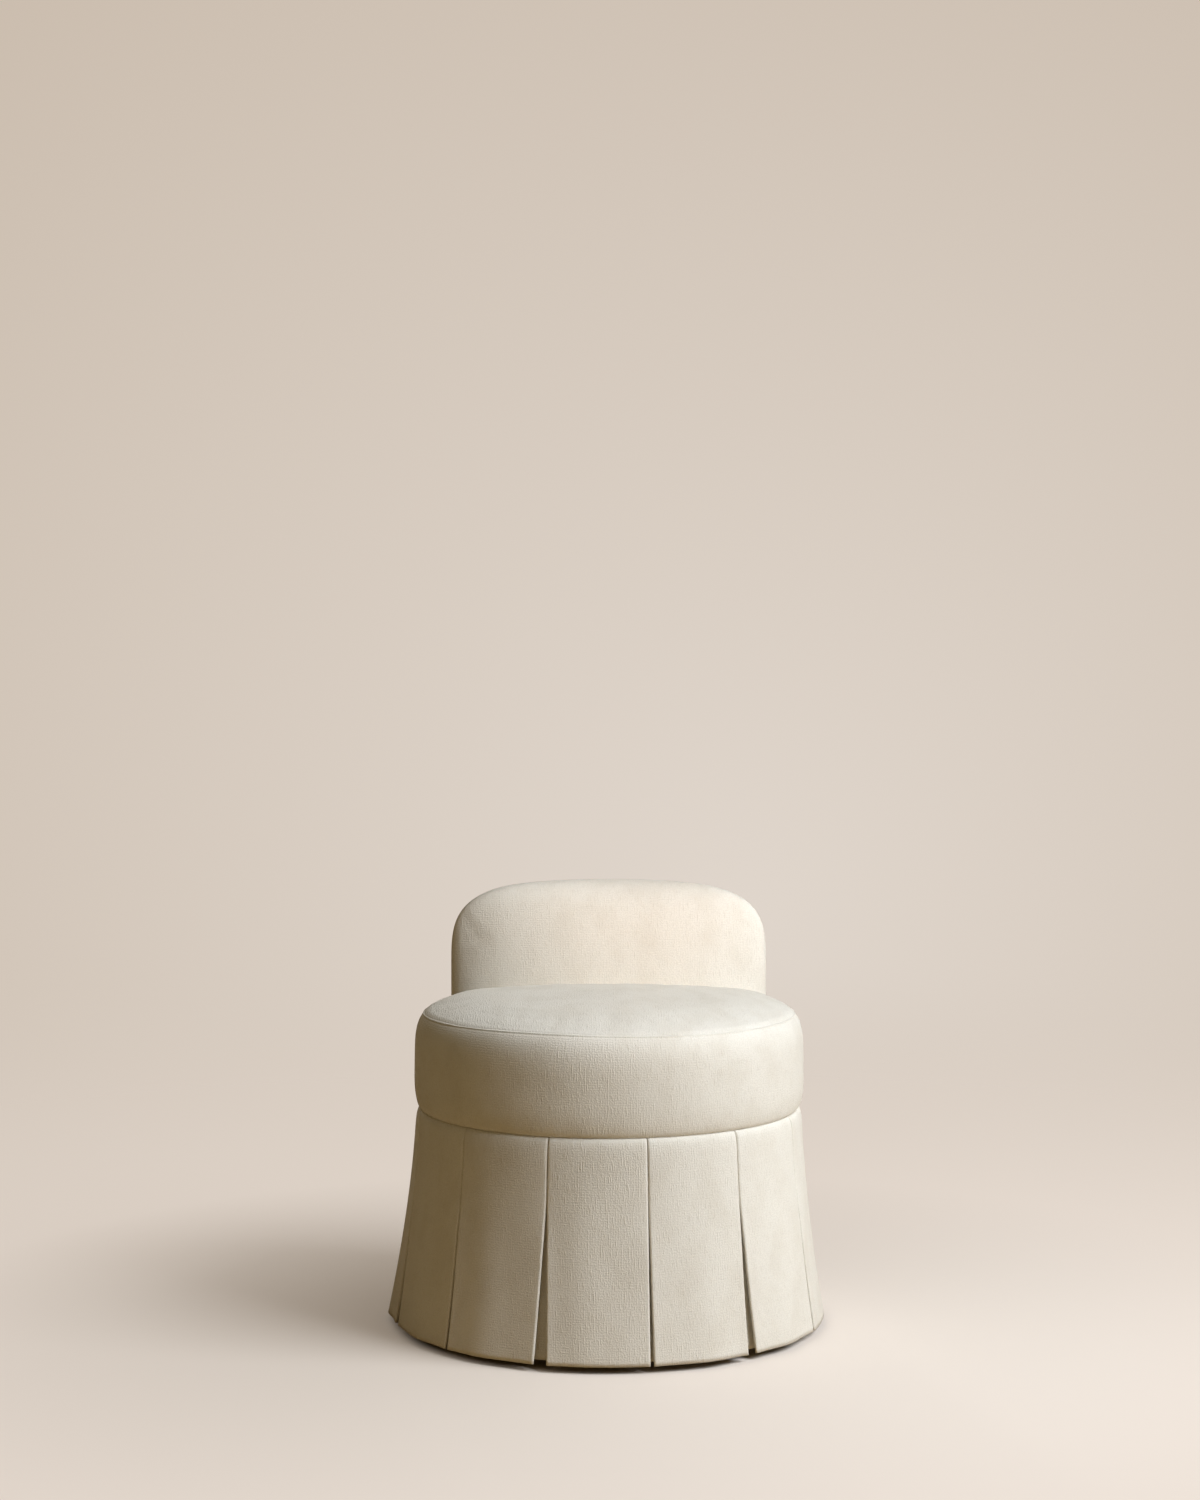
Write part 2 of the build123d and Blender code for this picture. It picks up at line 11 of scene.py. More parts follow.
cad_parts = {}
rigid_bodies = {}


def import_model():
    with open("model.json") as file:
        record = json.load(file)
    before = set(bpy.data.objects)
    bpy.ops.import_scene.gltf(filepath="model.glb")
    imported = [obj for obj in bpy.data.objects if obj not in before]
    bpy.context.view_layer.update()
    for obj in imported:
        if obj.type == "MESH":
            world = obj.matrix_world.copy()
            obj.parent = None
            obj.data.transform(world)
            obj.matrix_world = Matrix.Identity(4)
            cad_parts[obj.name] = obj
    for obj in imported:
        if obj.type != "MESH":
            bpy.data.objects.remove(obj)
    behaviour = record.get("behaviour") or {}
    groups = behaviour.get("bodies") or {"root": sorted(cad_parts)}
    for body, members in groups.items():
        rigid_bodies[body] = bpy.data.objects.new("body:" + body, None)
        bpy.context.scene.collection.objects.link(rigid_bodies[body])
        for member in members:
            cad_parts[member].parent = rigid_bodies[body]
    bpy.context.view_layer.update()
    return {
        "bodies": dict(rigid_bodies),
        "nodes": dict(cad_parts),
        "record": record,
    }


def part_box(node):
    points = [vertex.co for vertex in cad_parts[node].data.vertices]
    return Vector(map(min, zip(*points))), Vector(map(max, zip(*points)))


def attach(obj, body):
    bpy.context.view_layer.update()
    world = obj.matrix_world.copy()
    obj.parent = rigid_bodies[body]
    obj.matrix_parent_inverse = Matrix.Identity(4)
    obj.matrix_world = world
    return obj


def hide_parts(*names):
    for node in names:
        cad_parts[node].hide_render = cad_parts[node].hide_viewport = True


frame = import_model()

bl_info = {
    "name": "Skirted Swivel Stool",
    "version": (1, 0, 0),
    "blender": (4, 5, 0),
    "location": "View3D > Sidebar > Stool",
    "description": "Upholsters the frame of a round swivel stool in linen with a box-pleated skirt",
    "category": "Add Mesh",
}

# Places that come from the frame; the crown stands a little higher and the underlays hang lower
CROWN_LIFT = 0.003
UNDERLAY_DROP = 0.003
SEAT_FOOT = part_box("seat_boxing")[0].z
TOP_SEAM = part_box("seat_boxing")[1].z
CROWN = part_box("seat_top_cover")[1].z + CROWN_LIFT
BACK_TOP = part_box("back_cover")[1].z
BACK_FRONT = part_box("back_cover")[0].y
BACK_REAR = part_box("back_cover")[1].y
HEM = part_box("skirt_panel_01")[0].z
UNDERLAY_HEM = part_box("pleat_underlay_01")[0].z - UNDERLAY_DROP

# Simulated swelling: its length, and the most that a point may move
SWELL_FRAMES = 20
SEAT_SWELL_CAP = 0.0018
BACK_SWELL_CAP = 0.0025

# Distances from a seam, from the back and over the back's foot where the padding is held and free
HELD_WITHIN = 0.004
FREE_OF_SEAM = 0.016
FREE_OF_BACK = 0.020
BACK_HELD_TO = 0.090
BACK_FREE_FROM = 0.140

# The seat where it meets the back, and how fast its rolls and its crease die away
CORNER_SOFTNESS = 0.006
CREASE_HALF_WIDTH = 0.23
CREASE_FADE = 0.011
SEAT_TUCK_FADE = 0.0022

# The seam round the top, which rides up the shoulder in front on the left
SEAM_WIDTH = 0.0011
GROOVE_PLACE = 0.0021
GROOVE_WIDTH = 0.0008
UPPER_GROOVE = 0.6
SEAM_REACH = 0.0036
SEAM_CLEAR_OF_BACK = 0.012
SEAM_RIDE = 0.006
SEAM_RIDE_ANGLE = math.radians(250)
SEAM_RIDE_SPREAD = math.radians(42)
SEAM_RIDE_FADE = (0.006, 0.045)

# Slow and small unevenness of the padding: sizes of the waves, and their heights on each face
WAVE_SIZES = (0.085, 0.032)
BAND_WAVES = (0.0007, 0.0003)
TOP_WAVES = (0.0011, 0.0003)
BACK_WAVE_SIZE = 0.09
BACK_WAVES = (0.0, 0.0012, 0.0008)

# Flat cloth: radius that the side band is measured round, and distances between the cut pieces
BAND_RADIUS = 0.256
TOP_CUT_PLACE = (3.0, 3.0)
PANEL_CUT_PITCH = 0.31
UNDERLAY_CUT_PLACE = 0.1

# Squareness of the back's ends, and their share in its rear face
BACK_END_POWER = 2.4
BACK_END_SHARE = 0.25

# The skirt's pleats, the width of each opening at the hem, and how the cloth hangs from its seam;
# the edges stand out over a range of depths below the end of the stitching
PLEATS = 12
HEM_GAPS = (0.017, 0.0045, 0.013, 0.004, 0.014, 0.008, 0.012, 0.015, 0.009, 0.013, 0.012, 0.004)
SEWN_GAP = 0.0006
SKIRT_SWELL_FADE = 0.008
SKIRT_TUCK_FADE = 0.0018
FOLD_STEPS = 9
FACE_STEPS = 44
EDGE_LIFT = 0.0020
EDGE_LIFT_FADE = 0.012
EDGE_LIFT_DEPTHS = (-0.01, 0.07)
UNDERLAY_RECESS = 0.006
UNDERLAY_CLEARANCE = 0.0014

# The panel at the left, counted from 0, that bulges at its hem
FULL_PANEL = 9
BULGE = 0.008
BULGE_FROM_EDGE = 0.060
BULGE_SPREAD = 0.032

# The floor, by distance from the stool's middle: the start of its even brightness, which is left out under
# the hem as painted shade, the range over which that grows and its shares there, held low near the stool as
# painted shade round it, and where the floor has faded away and is still full
FLOOR_RADIUS = 6.0
PAINTED_HEM_SHADE_EDGE = (0.27, 0.30)
PAINTED_SHADE_FADE_RANGE = (0.29, 1.0)
GLOW_SHARES = (0.2, 0.75)
FLOOR_FADE = (4.0, 0.6)

# The room's light by height of its direction, the direction of the middle of the painted pool of light on the
# backdrop and how far that spreads
CEILING_RANGE = (0.35, 0.95)
BACKDROP_PAINTED_LIGHT_MIDDLE = (0.05, 0.98, -0.10)
BACKDROP_PAINTED_LIGHT_SPREAD = 0.5

# Camera and key lamp
CAMERA_PLACE = (-0.012, -3.771, 0.948)
CAMERA_TILT = math.pi / 2 - 0.048
SENSOR_WIDTH = 36.0
VIEW_END = 50.0
KEY_AIM = (0.0, 0.0, 0.35)
KEY_DIRECTION = (0.70, -0.42, 0.60)
KEY_COLOUR = (0.895, 0.942, 1.0)
SPOT_SOFTNESS = 0.2

# Narrow lamps: name, setting that holds the power, place, aim, cone in degrees and colour
SPOT_LAMPS = (
    ("warm_lamp", "warm_power", (0.0, -2.4, 1.0), (0.068, 0.13, 0.602), 7.3, (1.0, 0.58, 0.30)),
    ("fill_lamp", "fill_power", (0.6, -2.3, 0.95), (-0.080, 0.13, 0.525), 8.0, (1.0, 0.96, 0.90)),
    ("side_lamp", "side_power", (2.2, -0.3, 0.20), (0.25, -0.05, 0.17), 11.0, (0.84, 0.92, 1.0)),
    ("rear_lamp", "rear_power", (-0.7, 2.6, 0.9), (0.0, 0.20, 0.30), 13.0, (0.95, 0.97, 1.0)),
)


class StoolClothSettings(bpy.types.PropertyGroup):
    """Colours and weave of the cloth."""

    linen: FloatVectorProperty(
        name="Linen", description="Colour of the cloth", subtype="COLOR", size=3,
        min=0, max=1, default=(0.820, 0.792, 0.722))
    slub: FloatVectorProperty(
        name="Slub", description="Colour of the thick, darker yarns", subtype="COLOR", size=3,
        min=0, max=1, default=(0.640, 0.585, 0.490))
    yarn_pitch: FloatProperty(
        name="Yarn pitch", description="Distance from one yarn to the next", subtype="DISTANCE",
        default=0.0016, min=0.0005, max=0.005, precision=4)
    relief: FloatProperty(
        name="Relief", description="Height of the slubs over the cloth", subtype="DISTANCE",
        default=0.0008, min=0.0, max=0.003, precision=4)
    pressure: FloatProperty(
        name="Pressure", description="Pressure that swells the padded pieces", default=4.0, min=0.0, max=20.0)
    voxel: FloatProperty(
        name="Voxel", description="Mesh size for the swelling", subtype="DISTANCE",
        default=0.006, min=0.003, max=0.02, precision=4)


class StoolSeatSettings(bpy.types.PropertyGroup):
    """Sizes of the seat cushion."""

    belly_radius: FloatProperty(
        name="Belly radius", description="Radius of the cushion where it is widest", subtype="DISTANCE",
        default=0.2605, min=0.1, max=0.5, precision=4)
    belly_height: FloatProperty(
        name="Belly height", description="From the lower seam to the widest place", subtype="DISTANCE",
        default=0.048, min=0.01, max=0.1, precision=4)
    belly: FloatProperty(
        name="Belly", description="How far the side band swells over its lower seam", subtype="DISTANCE",
        default=0.0057, min=0.0, max=0.03, precision=4)
    tuck: FloatProperty(
        name="Tuck", description="How far the side band rolls in at its lower seam", subtype="DISTANCE",
        default=0.0036, min=0.0, max=0.01, precision=4)
    shoulder_power: FloatProperty(
        name="Shoulder power", description="Squareness of the round shoulder, going up",
        default=4.9, min=2, max=10)
    crown_power: FloatProperty(
        name="Crown power", description="Squareness of the round shoulder, going in",
        default=11.2, min=2, max=20)
    crown_dome: FloatProperty(
        name="Crown dome", description="How far the top rises from its edge to its middle",
        subtype="DISTANCE", default=0.0173, min=0.0, max=0.05, precision=4)
    crease: FloatProperty(
        name="Crease", description="How far the top sinks where it meets the back", subtype="DISTANCE",
        default=0.008, min=0.0, max=0.03, precision=4)
    seam_depth: FloatProperty(
        name="Seam depth", description="Depth of the grooves beside the seam round the top",
        subtype="DISTANCE", default=0.00015, min=0.0, max=0.005, precision=4)
    seam_lip: FloatProperty(
        name="Seam lip", description="Height of the cloth's roll at the seam round the top",
        subtype="DISTANCE", default=0.0007, min=0.0, max=0.005, precision=4)


class StoolBackSettings(bpy.types.PropertyGroup):
    """Sizes of the half-moon back."""

    half_width: FloatProperty(
        name="Half width", description="From the middle of the back to its end", subtype="DISTANCE",
        default=0.220, min=0.1, max=0.3, precision=4)
    shoulder_drop: FloatProperty(
        name="Shoulder drop", description="Height of the rounded shoulders", subtype="DISTANCE",
        default=0.125, min=0.02, max=0.25, precision=4)
    shoulder_power: FloatProperty(
        name="Shoulder power", description="Squareness of the rounded shoulders", default=3.8, min=2, max=8)
    end_y: FloatProperty(
        name="End place", description="How far behind the swivel axis the ends are", subtype="DISTANCE",
        default=0.160, min=0.1, max=0.3, precision=4)
    front_round: FloatProperty(
        name="Front round", description="Squareness of the front, seen from above",
        default=2.2, min=1.2, max=8)
    rear_round: FloatProperty(
        name="Rear round", description="Squareness of the rear, seen from above", default=1.6, min=1.2, max=8)
    front_nose: FloatProperty(
        name="Front nose", description="How far the front falls back up to the top", subtype="DISTANCE",
        default=0.074, min=0.01, max=0.1, precision=4)
    front_power: FloatProperty(
        name="Front power", description="Squareness of the front's dome", default=2.1, min=1.5, max=8)
    rear_nose: FloatProperty(
        name="Rear nose", description="How far the rear falls in up to the top", subtype="DISTANCE",
        default=0.064, min=0.01, max=0.1, precision=4)
    rear_power: FloatProperty(
        name="Rear power", description="Squareness of the rear's dome", default=2.6, min=1.5, max=8)
    foot_tuck: FloatProperty(
        name="Foot tuck", description="How far the back rolls in at its foot", subtype="DISTANCE",
        default=0.008, min=0.0, max=0.03, precision=4)
    dome_start: FloatProperty(
        name="Dome start", description="Height over the lower seam where the domes begin", subtype="DISTANCE",
        default=0.120, min=0.0, max=0.2, precision=4)


class StoolSkirtSettings(bpy.types.PropertyGroup):
    """Sizes of the skirt and its pleats."""

    top_radius: FloatProperty(
        name="Top radius", description="Radius of the skirt under the seat", subtype="DISTANCE",
        default=0.2548, min=0.1, max=0.5, precision=4)
    swell: FloatProperty(
        name="Swell", description="How far the skirt swells just under its seam", subtype="DISTANCE",
        default=0.004, min=0.0, max=0.02, precision=4)
    tuck: FloatProperty(
        name="Tuck", description="How far the skirt rolls in at its seam", subtype="DISTANCE",
        default=0.0022, min=0.0, max=0.01, precision=4)
    flare: FloatProperty(
        name="Flare", description="How much wider the hem is than the top", subtype="DISTANCE",
        default=0.030, min=0.0, max=0.1, precision=4)
    first_pleat: FloatProperty(
        name="First pleat", description="Angle of the first pleat from the front", subtype="ANGLE",
        default=math.radians(-19), min=-math.pi, max=math.pi)
    crowding: FloatProperty(
        name="Crowding", description="How far pleats at the sides are drawn to the front", subtype="ANGLE",
        default=math.radians(3.3), min=0, max=math.radians(10))
    crowding_middle: FloatProperty(
        name="Crowding middle", description="Angle from the front where the pleats lie closest",
        subtype="ANGLE", default=math.radians(6), min=-math.pi, max=math.pi)
    stitch_depth: FloatProperty(
        name="Stitch depth", description="How far down each pleat is sewn shut", subtype="DISTANCE",
        default=0.084, min=0.0, max=0.2, precision=4)
    cloth: FloatProperty(
        name="Cloth", description="Thickness of the cloth", subtype="DISTANCE",
        default=0.0016, min=0.0005, max=0.004, precision=4)
    fold_depth: FloatProperty(
        name="Fold depth", description="Thickness of a folded pleat edge", subtype="DISTANCE",
        default=0.0050, min=0.002, max=0.02, precision=4)
    pleat_return: FloatProperty(
        name="Pleat return", description="Cloth folded back behind each edge", subtype="DISTANCE",
        default=0.032, min=0.01, max=0.06, precision=4)
    underlay_width: FloatProperty(
        name="Underlay width", description="Width of the strip behind each pleat", subtype="DISTANCE",
        default=0.072, min=0.02, max=0.12, precision=4)
    ripple: FloatProperty(
        name="Ripple", description="How far a panel strays in or out at its hem", subtype="DISTANCE",
        default=0.0020, min=0.0, max=0.01, precision=4)
    seed: IntProperty(name="Seed", description="Seed of the panels' ripples", default=5, min=0)


class StoolStageSettings(bpy.types.PropertyGroup):
    """Floor, backdrop, lamps and camera."""

    floor: FloatVectorProperty(
        name="Floor", description="Colour of the floor", subtype="COLOR", size=3,
        min=0, max=1, default=(0.90, 0.82, 0.745))
    floor_glow: FloatVectorProperty(
        name="Floor glow", description="Even part of the floor's brightness", subtype="COLOR", size=3,
        min=0, max=1, default=(0.82, 0.725, 0.645))
    floor_bounce: FloatVectorProperty(
        name="Floor bounce", description="Colour that the floor throws on the stool", subtype="COLOR", size=3,
        min=0, max=1, default=(0.42, 0.29, 0.14))
    backdrop: FloatVectorProperty(
        name="Backdrop", description="Colour behind the stool", subtype="COLOR", size=3,
        min=0, max=1, default=(0.745, 0.672, 0.604))
    # Painted falloff: the backdrop's darker colour away from its painted pool of light
    backdrop_painted_falloff: FloatVectorProperty(
        name="Backdrop edge", description="Colour of the backdrop far from its bright middle",
        subtype="COLOR", size=3, min=0, max=1, default=(0.560, 0.468, 0.380))
    room: FloatVectorProperty(
        name="Room light", description="Colour of the light from the sides", subtype="COLOR", size=3,
        min=0, max=1, default=(0.106, 0.069, 0.019))
    ceiling: FloatVectorProperty(
        name="Ceiling light", description="Colour of the light from above", subtype="COLOR", size=3,
        min=0, max=1, default=(0.218, 0.195, 0.152))
    key_power: FloatProperty(
        name="Key lamp", description="Power of the large lamp on the right", subtype="POWER",
        default=108.0, min=0.0)
    key_size: FloatProperty(
        name="Key lamp size", description="Width of the large lamp", subtype="DISTANCE",
        default=1.8, min=0.1, max=5.0)
    key_distance: FloatProperty(
        name="Key lamp distance", description="From the stool to the large lamp", subtype="DISTANCE",
        default=3.0, min=1.0, max=10.0)
    warm_power: FloatProperty(
        name="Warm lamp", description="Power of the soft warm lamp on the back", subtype="POWER",
        default=170.0, min=0.0)
    fill_power: FloatProperty(
        name="Fill lamp", description="Power of the soft plain lamp on the back", subtype="POWER",
        default=45.0, min=0.0)
    side_power: FloatProperty(
        name="Side lamp", description="Power of the low lamp on the right", subtype="POWER",
        default=28.0, min=0.0)
    rear_power: FloatProperty(
        name="Rear lamp", description="Power of the soft lamp behind the stool", subtype="POWER",
        default=90.0, min=0.0)
    focal_length: FloatProperty(
        name="Focal length", description="Focal length of the camera, in millimetres", default=67.8,
        min=10, max=300)


def shelf(low, high, value):
    """Smooth step from 0 at low to 1 at high."""
    share = np.clip((value - low) / (high - low), 0.0, 1.0)
    return share * share * (3 - 2 * share)


def hump(distance, width):
    """Smooth hump, 1 in its middle and dying away beyond its width."""
    return np.exp(-((distance / width) ** 2))


def drift(points, size, seed):
    """Slow smooth noise at points, from -1 to 1."""
    places = np.asarray(points).reshape(-1, 3) / size
    shift = Vector((7.3 * seed, 3.1 * seed, 1.7 * seed))
    values = np.array([noise.noise(Vector(place) + shift) for place in places])
    return values.reshape(np.asarray(points).shape[:-1])


def round_places(radius, angles, height):
    """Places round the swivel axis, one a row."""
    return np.stack([radius * np.cos(angles), radius * np.sin(angles), height], axis=1)


def grid_faces(rows, columns, wrap):
    """Corner numbers of a grid's faces, and the row and column of each corner."""
    spans = columns if wrap else columns - 1
    row, column = np.meshgrid(np.arange(rows - 1), np.arange(spans), indexing="ij")
    row, column = row.ravel(), column.ravel()
    corner_rows = np.stack([row, row, row + 1, row + 1], axis=1)
    corner_columns = np.stack([column, column + 1, column + 1, column], axis=1)
    faces = corner_rows * columns + corner_columns % columns
    return faces, corner_rows, corner_columns


def cloth_object(name, points, flat, wrap=False, weld=0.0):
    """Smooth mesh over a grid of points, with the cloth's own flat place in metres as its UV map."""
    rows, columns = points.shape[:2]
    faces, corner_rows, corner_columns = grid_faces(rows, columns, wrap)
    mesh = bpy.data.meshes.new(name)
    mesh.from_pydata(points.reshape(-1, 3).tolist(), [], faces.tolist())
    layer = mesh.uv_layers.new(name="Cloth")
    layer.data.foreach_set("uv", flat[corner_rows, corner_columns].astype(np.float32).ravel())
    form = bmesh.new()
    form.from_mesh(mesh)
    if weld:
        bmesh.ops.remove_doubles(form, verts=form.verts, dist=weld)
        bmesh.ops.dissolve_degenerate(form, edges=form.edges, dist=weld)
        bmesh.ops.recalc_face_normals(form, faces=form.faces)
    for face in form.faces:
        face.smooth = True
    form.to_mesh(mesh)
    form.free()
    mesh.update()
    piece = bpy.data.objects.new(name, mesh)
    bpy.context.scene.collection.objects.link(piece)
    return piece


def dress(piece, material, body="upper"):
    """Give a piece its material and the body that it rides on."""
    piece.data.materials.clear()
    piece.data.materials.append(material)
    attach(piece, body)


def applied_mesh(piece):
    """New mesh of a piece with its modifiers applied."""
    return bpy.data.meshes.new_from_object(piece.evaluated_get(bpy.context.evaluated_depsgraph_get()))


def thicken(piece, thickness):
    """Give a sheet its thickness about its middle, as applied geometry."""
    modifier = piece.modifiers.new("Cloth thickness", "SOLIDIFY")
    modifier.thickness = thickness
    modifier.offset = 0.0
    modifier.use_even_offset = True
    mesh = applied_mesh(piece)
    piece.modifiers.clear()
    piece.data = mesh
    mesh.name = piece.name


def add_node(owner, kind, place, **values):
    """Node of a material or the world, with its settings and the values of its input sockets."""
    node = owner.node_tree.nodes.new(kind)
    node.location = place
    for name, value in values.items():
        if hasattr(node, name):
            setattr(node, name, value)
        else:
            node.inputs[name.replace("_", " ")].default_value = value
    return node


def new_material(name, **values):
    """Material with one main shader, whose constant sockets are set directly."""
    material = bpy.data.materials.new(name)
    material.use_nodes = True
    shader = material.node_tree.nodes["Principled BSDF"]
    for socket, value in values.items():
        shader.inputs[socket.replace("_", " ")].default_value = value
    return material, shader


def wire(owner, source, target):
    """Link two sockets."""
    owner.node_tree.links.new(source, target)


def own_place(material):
    """Place on a piece, in metres."""
    return add_node(material, "ShaderNodeTexCoord", (-1500, 0)).outputs["Object"]


def stretched_noise(material, vector, scale, place, detail=2.0, roughness=0.5):
    """Noise over the places of a surface, stretched by its scale each way."""
    mapping = add_node(material, "ShaderNodeMapping", place, Scale=scale)
    texture = add_node(
        material, "ShaderNodeTexNoise", (place[0] + 200, place[1]),
        Scale=1.0, Detail=detail, Roughness=roughness)
    wire(material, vector, mapping.inputs["Vector"])
    wire(material, mapping.outputs["Vector"], texture.inputs["Vector"])
    return texture.outputs["Fac"]


def ramp(owner, value, low, high, place):
    """Value spread smoothly from 0 at low to 1 at high."""
    node = add_node(
        owner, "ShaderNodeMapRange", place, interpolation_type="SMOOTHSTEP", From_Min=low, From_Max=high)
    wire(owner, value, node.inputs["Value"])
    return node.outputs["Result"]


def sum_of(material, parts, place):
    """Sum of values, each times its weight."""
    total = None
    for number, (value, weight) in enumerate(parts):
        node = add_node(
            material, "ShaderNodeMath", (place[0], place[1] - 170 * number), operation="MULTIPLY_ADD")
        wire(material, value, node.inputs[0])
        node.inputs[1].default_value = weight
        node.inputs[2].default_value = 0.0
        if total is not None:
            wire(material, total, node.inputs[2])
        total = node.outputs[0]
    return total


def blend_colour(owner, share, first, second, place):
    """Colour from first to second; either may be a colour or a socket."""
    node = add_node(owner, "ShaderNodeMix", place, data_type="RGBA")
    wire(owner, share, node.inputs["Factor"])
    for socket, colour in ((node.inputs[6], first), (node.inputs[7], second)):
        if isinstance(colour, bpy.types.NodeSocket):
            wire(owner, colour, socket)
        else:
            socket.default_value = (*colour, 1.0)
    return node.outputs[2]


def mix_shaders(owner, share, first, second, place):
    """Surface or background from a first shader to a second."""
    node = add_node(owner, "ShaderNodeMixShader", place)
    for source, socket in zip((share, first, second), node.inputs):
        wire(owner, source, socket)
    return node.outputs["Shader"]


def seen_rays(owner, place):
    """1 for what the camera sees, straight, in gloss or through glass, and 0 for light on the stool."""
    path = add_node(owner, "ShaderNodeLightPath", place)
    seen = path.outputs["Is Camera Ray"]
    for step, kind in enumerate(("Is Glossy Ray", "Is Transmission Ray"), 1):
        either = add_node(owner, "ShaderNodeMath", (place[0] + 200 * step, place[1]), operation="MAXIMUM")
        wire(owner, seen, either.inputs[0])
        wire(owner, path.outputs[kind], either.inputs[1])
        seen = either.outputs[0]
    return seen


def relief(material, height, distance, shader, strength=1.0):
    """Bump from a height between 0 and about 1."""
    bump = add_node(material, "ShaderNodeBump", (150, -450), Strength=strength, Distance=distance)
    wire(material, height, bump.inputs["Height"])
    wire(material, bump.outputs["Normal"], shader.inputs["Normal"])


def linen_material():
    """Off-white linen: plain weave, thick slubs both ways and a soft bloom."""
    found = bpy.data.materials.get("slub_linen")
    if found:
        return found
    cloth = bpy.context.scene.stool_cloth
    material, shader = new_material(
        "slub_linen", Roughness=0.92, Specular_IOR_Level=0.18, Sheen_Weight=0.14, Sheen_Roughness=0.45)
    shader.inputs["Sheen Tint"].default_value = (1.0, 0.97, 0.92, 1.0)
    place = add_node(material, "ShaderNodeUVMap", (-1500, 0), uv_map="Cloth").outputs["UV"]
    upright = stretched_noise(material, place, (560, 75, 1), (-1250, 400), 2.5)
    across = stretched_noise(material, place, (110, 520, 1), (-1250, 150), 2.5)
    pebble = stretched_noise(material, place, (560, 480, 1), (-1250, -100), 3.0, 0.65)
    cloud = stretched_noise(material, place, (26, 15, 1), (-1250, -350), 4.0)
    yarns = 1.0 / cloth.yarn_pitch
    weave = []
    for number, direction in enumerate(("X", "Y")):
        row = -650 - 250 * number
        mapping = add_node(material, "ShaderNodeMapping", (-1250, row), Scale=(yarns / 2, yarns / 2, 1))
        wave = add_node(
            material, "ShaderNodeTexWave", (-1050, row), bands_direction=direction,
            Scale=math.pi / 10, Distortion=0.6, Detail=1.0)
        wire(material, place, mapping.inputs["Vector"])
        wire(material, mapping.outputs["Vector"], wave.inputs["Vector"])
        weave.append(wave.outputs["Fac"])
    thick_upright = ramp(material, upright, 0.50, 0.74, (-800, 400))
    thick_across = ramp(material, across, 0.54, 0.78, (-800, 150))
    yarn_heights = [
        (thick_upright, 0.40), (thick_across, 0.20), (pebble, 0.78), (weave[0], 0.06), (weave[1], 0.06)]
    height = sum_of(material, yarn_heights, (-500, -300))
    relief(material, height, cloth.relief, shader, 0.85)
    pale = tuple(min(1.0, c * 1.05) for c in cloth.linen)
    dim = tuple(c * 0.93 for c in cloth.linen)
    patches = ramp(material, cloud, 0.40, 0.68, (-800, -350))
    grain = ramp(material, pebble, 0.30, 0.70, (-800, -100))
    colour = blend_colour(material, grain, dim, pale, (-500, 300))
    for number, slub in enumerate([(thick_upright, 0.24), (thick_across, 0.10), (patches, 0.22)]):
        share = sum_of(material, [slub], (-500, 600 + 300 * number))
        colour = blend_colour(material, share, colour, cloth.slub, (-250 + 175 * number, 300))
    wire(material, colour, shader.inputs["Base Color"])
    return material


def rounded(share, power):
    """Fullness of a rounded form at a share of the way out, from 1 in its middle to 0 at its edge."""
    return (1 - share**power) ** (1 / power)


def dome(share, power):
    """How far a rounded form has fallen back, from 0 in its middle to 1 at its edge."""
    return 1 - rounded(share, power)


def back_faces(x):
    """Front and rear of the back pad at places across it, meeting at its round ends."""
    back = bpy.context.scene.stool_back
    share = np.clip(np.abs(x) / back.half_width, 0.0, 1.0)
    rear_full = (1 - BACK_END_SHARE) * rounded(share, back.rear_round)
    rear_full = rear_full + BACK_END_SHARE * rounded(share, BACK_END_POWER)
    front = back.end_y - (back.end_y - BACK_FRONT) * rounded(share, back.front_round)
    rear = back.end_y + (BACK_REAR - back.end_y) * rear_full
    return front, rear


def back_reach(angles):
    """Distance from the swivel axis to the front of the back along each angle."""
    clear = 0.4
    near = np.zeros_like(angles)
    far = np.full_like(angles, clear)
    for _ in range(40):
        middle = (near + far) / 2
        past = middle * np.sin(angles) > back_faces(middle * np.cos(angles))[0]
        far = np.where(past, middle, far)
        near = np.where(past, near, middle)
    return np.where(np.sin(angles) > 0.2, near, clear)


def soft_least(first, second, softness):
    """Smaller of two lengths, rounded where they cross."""
    blend = np.clip(0.5 + (second - first) / (2 * softness), 0.0, 1.0)
    return second + (first - second) * blend - softness * blend * (1 - blend)


def crown_height(x, y):
    """Height of the seat's round shoulder and domed top, sinking where the top meets the back."""
    seat = bpy.context.scene.stool_seat
    widest = SEAT_FOOT + seat.belly_height
    share = np.minimum(np.hypot(x, y) / seat.belly_radius, 1.0)
    rise = CROWN - seat.crown_dome - widest
    height = widest + rise * (1 - share**seat.crown_power) ** (1 / seat.shoulder_power)
    height = height + seat.crown_dome * (1 - share**2)
    room = np.maximum(back_faces(x)[0] - y, 0.0)
    near_back = np.where(np.abs(x) < CREASE_HALF_WIDTH, np.exp(-room / CREASE_FADE), 0.0)
    return height - seat.crease * near_back


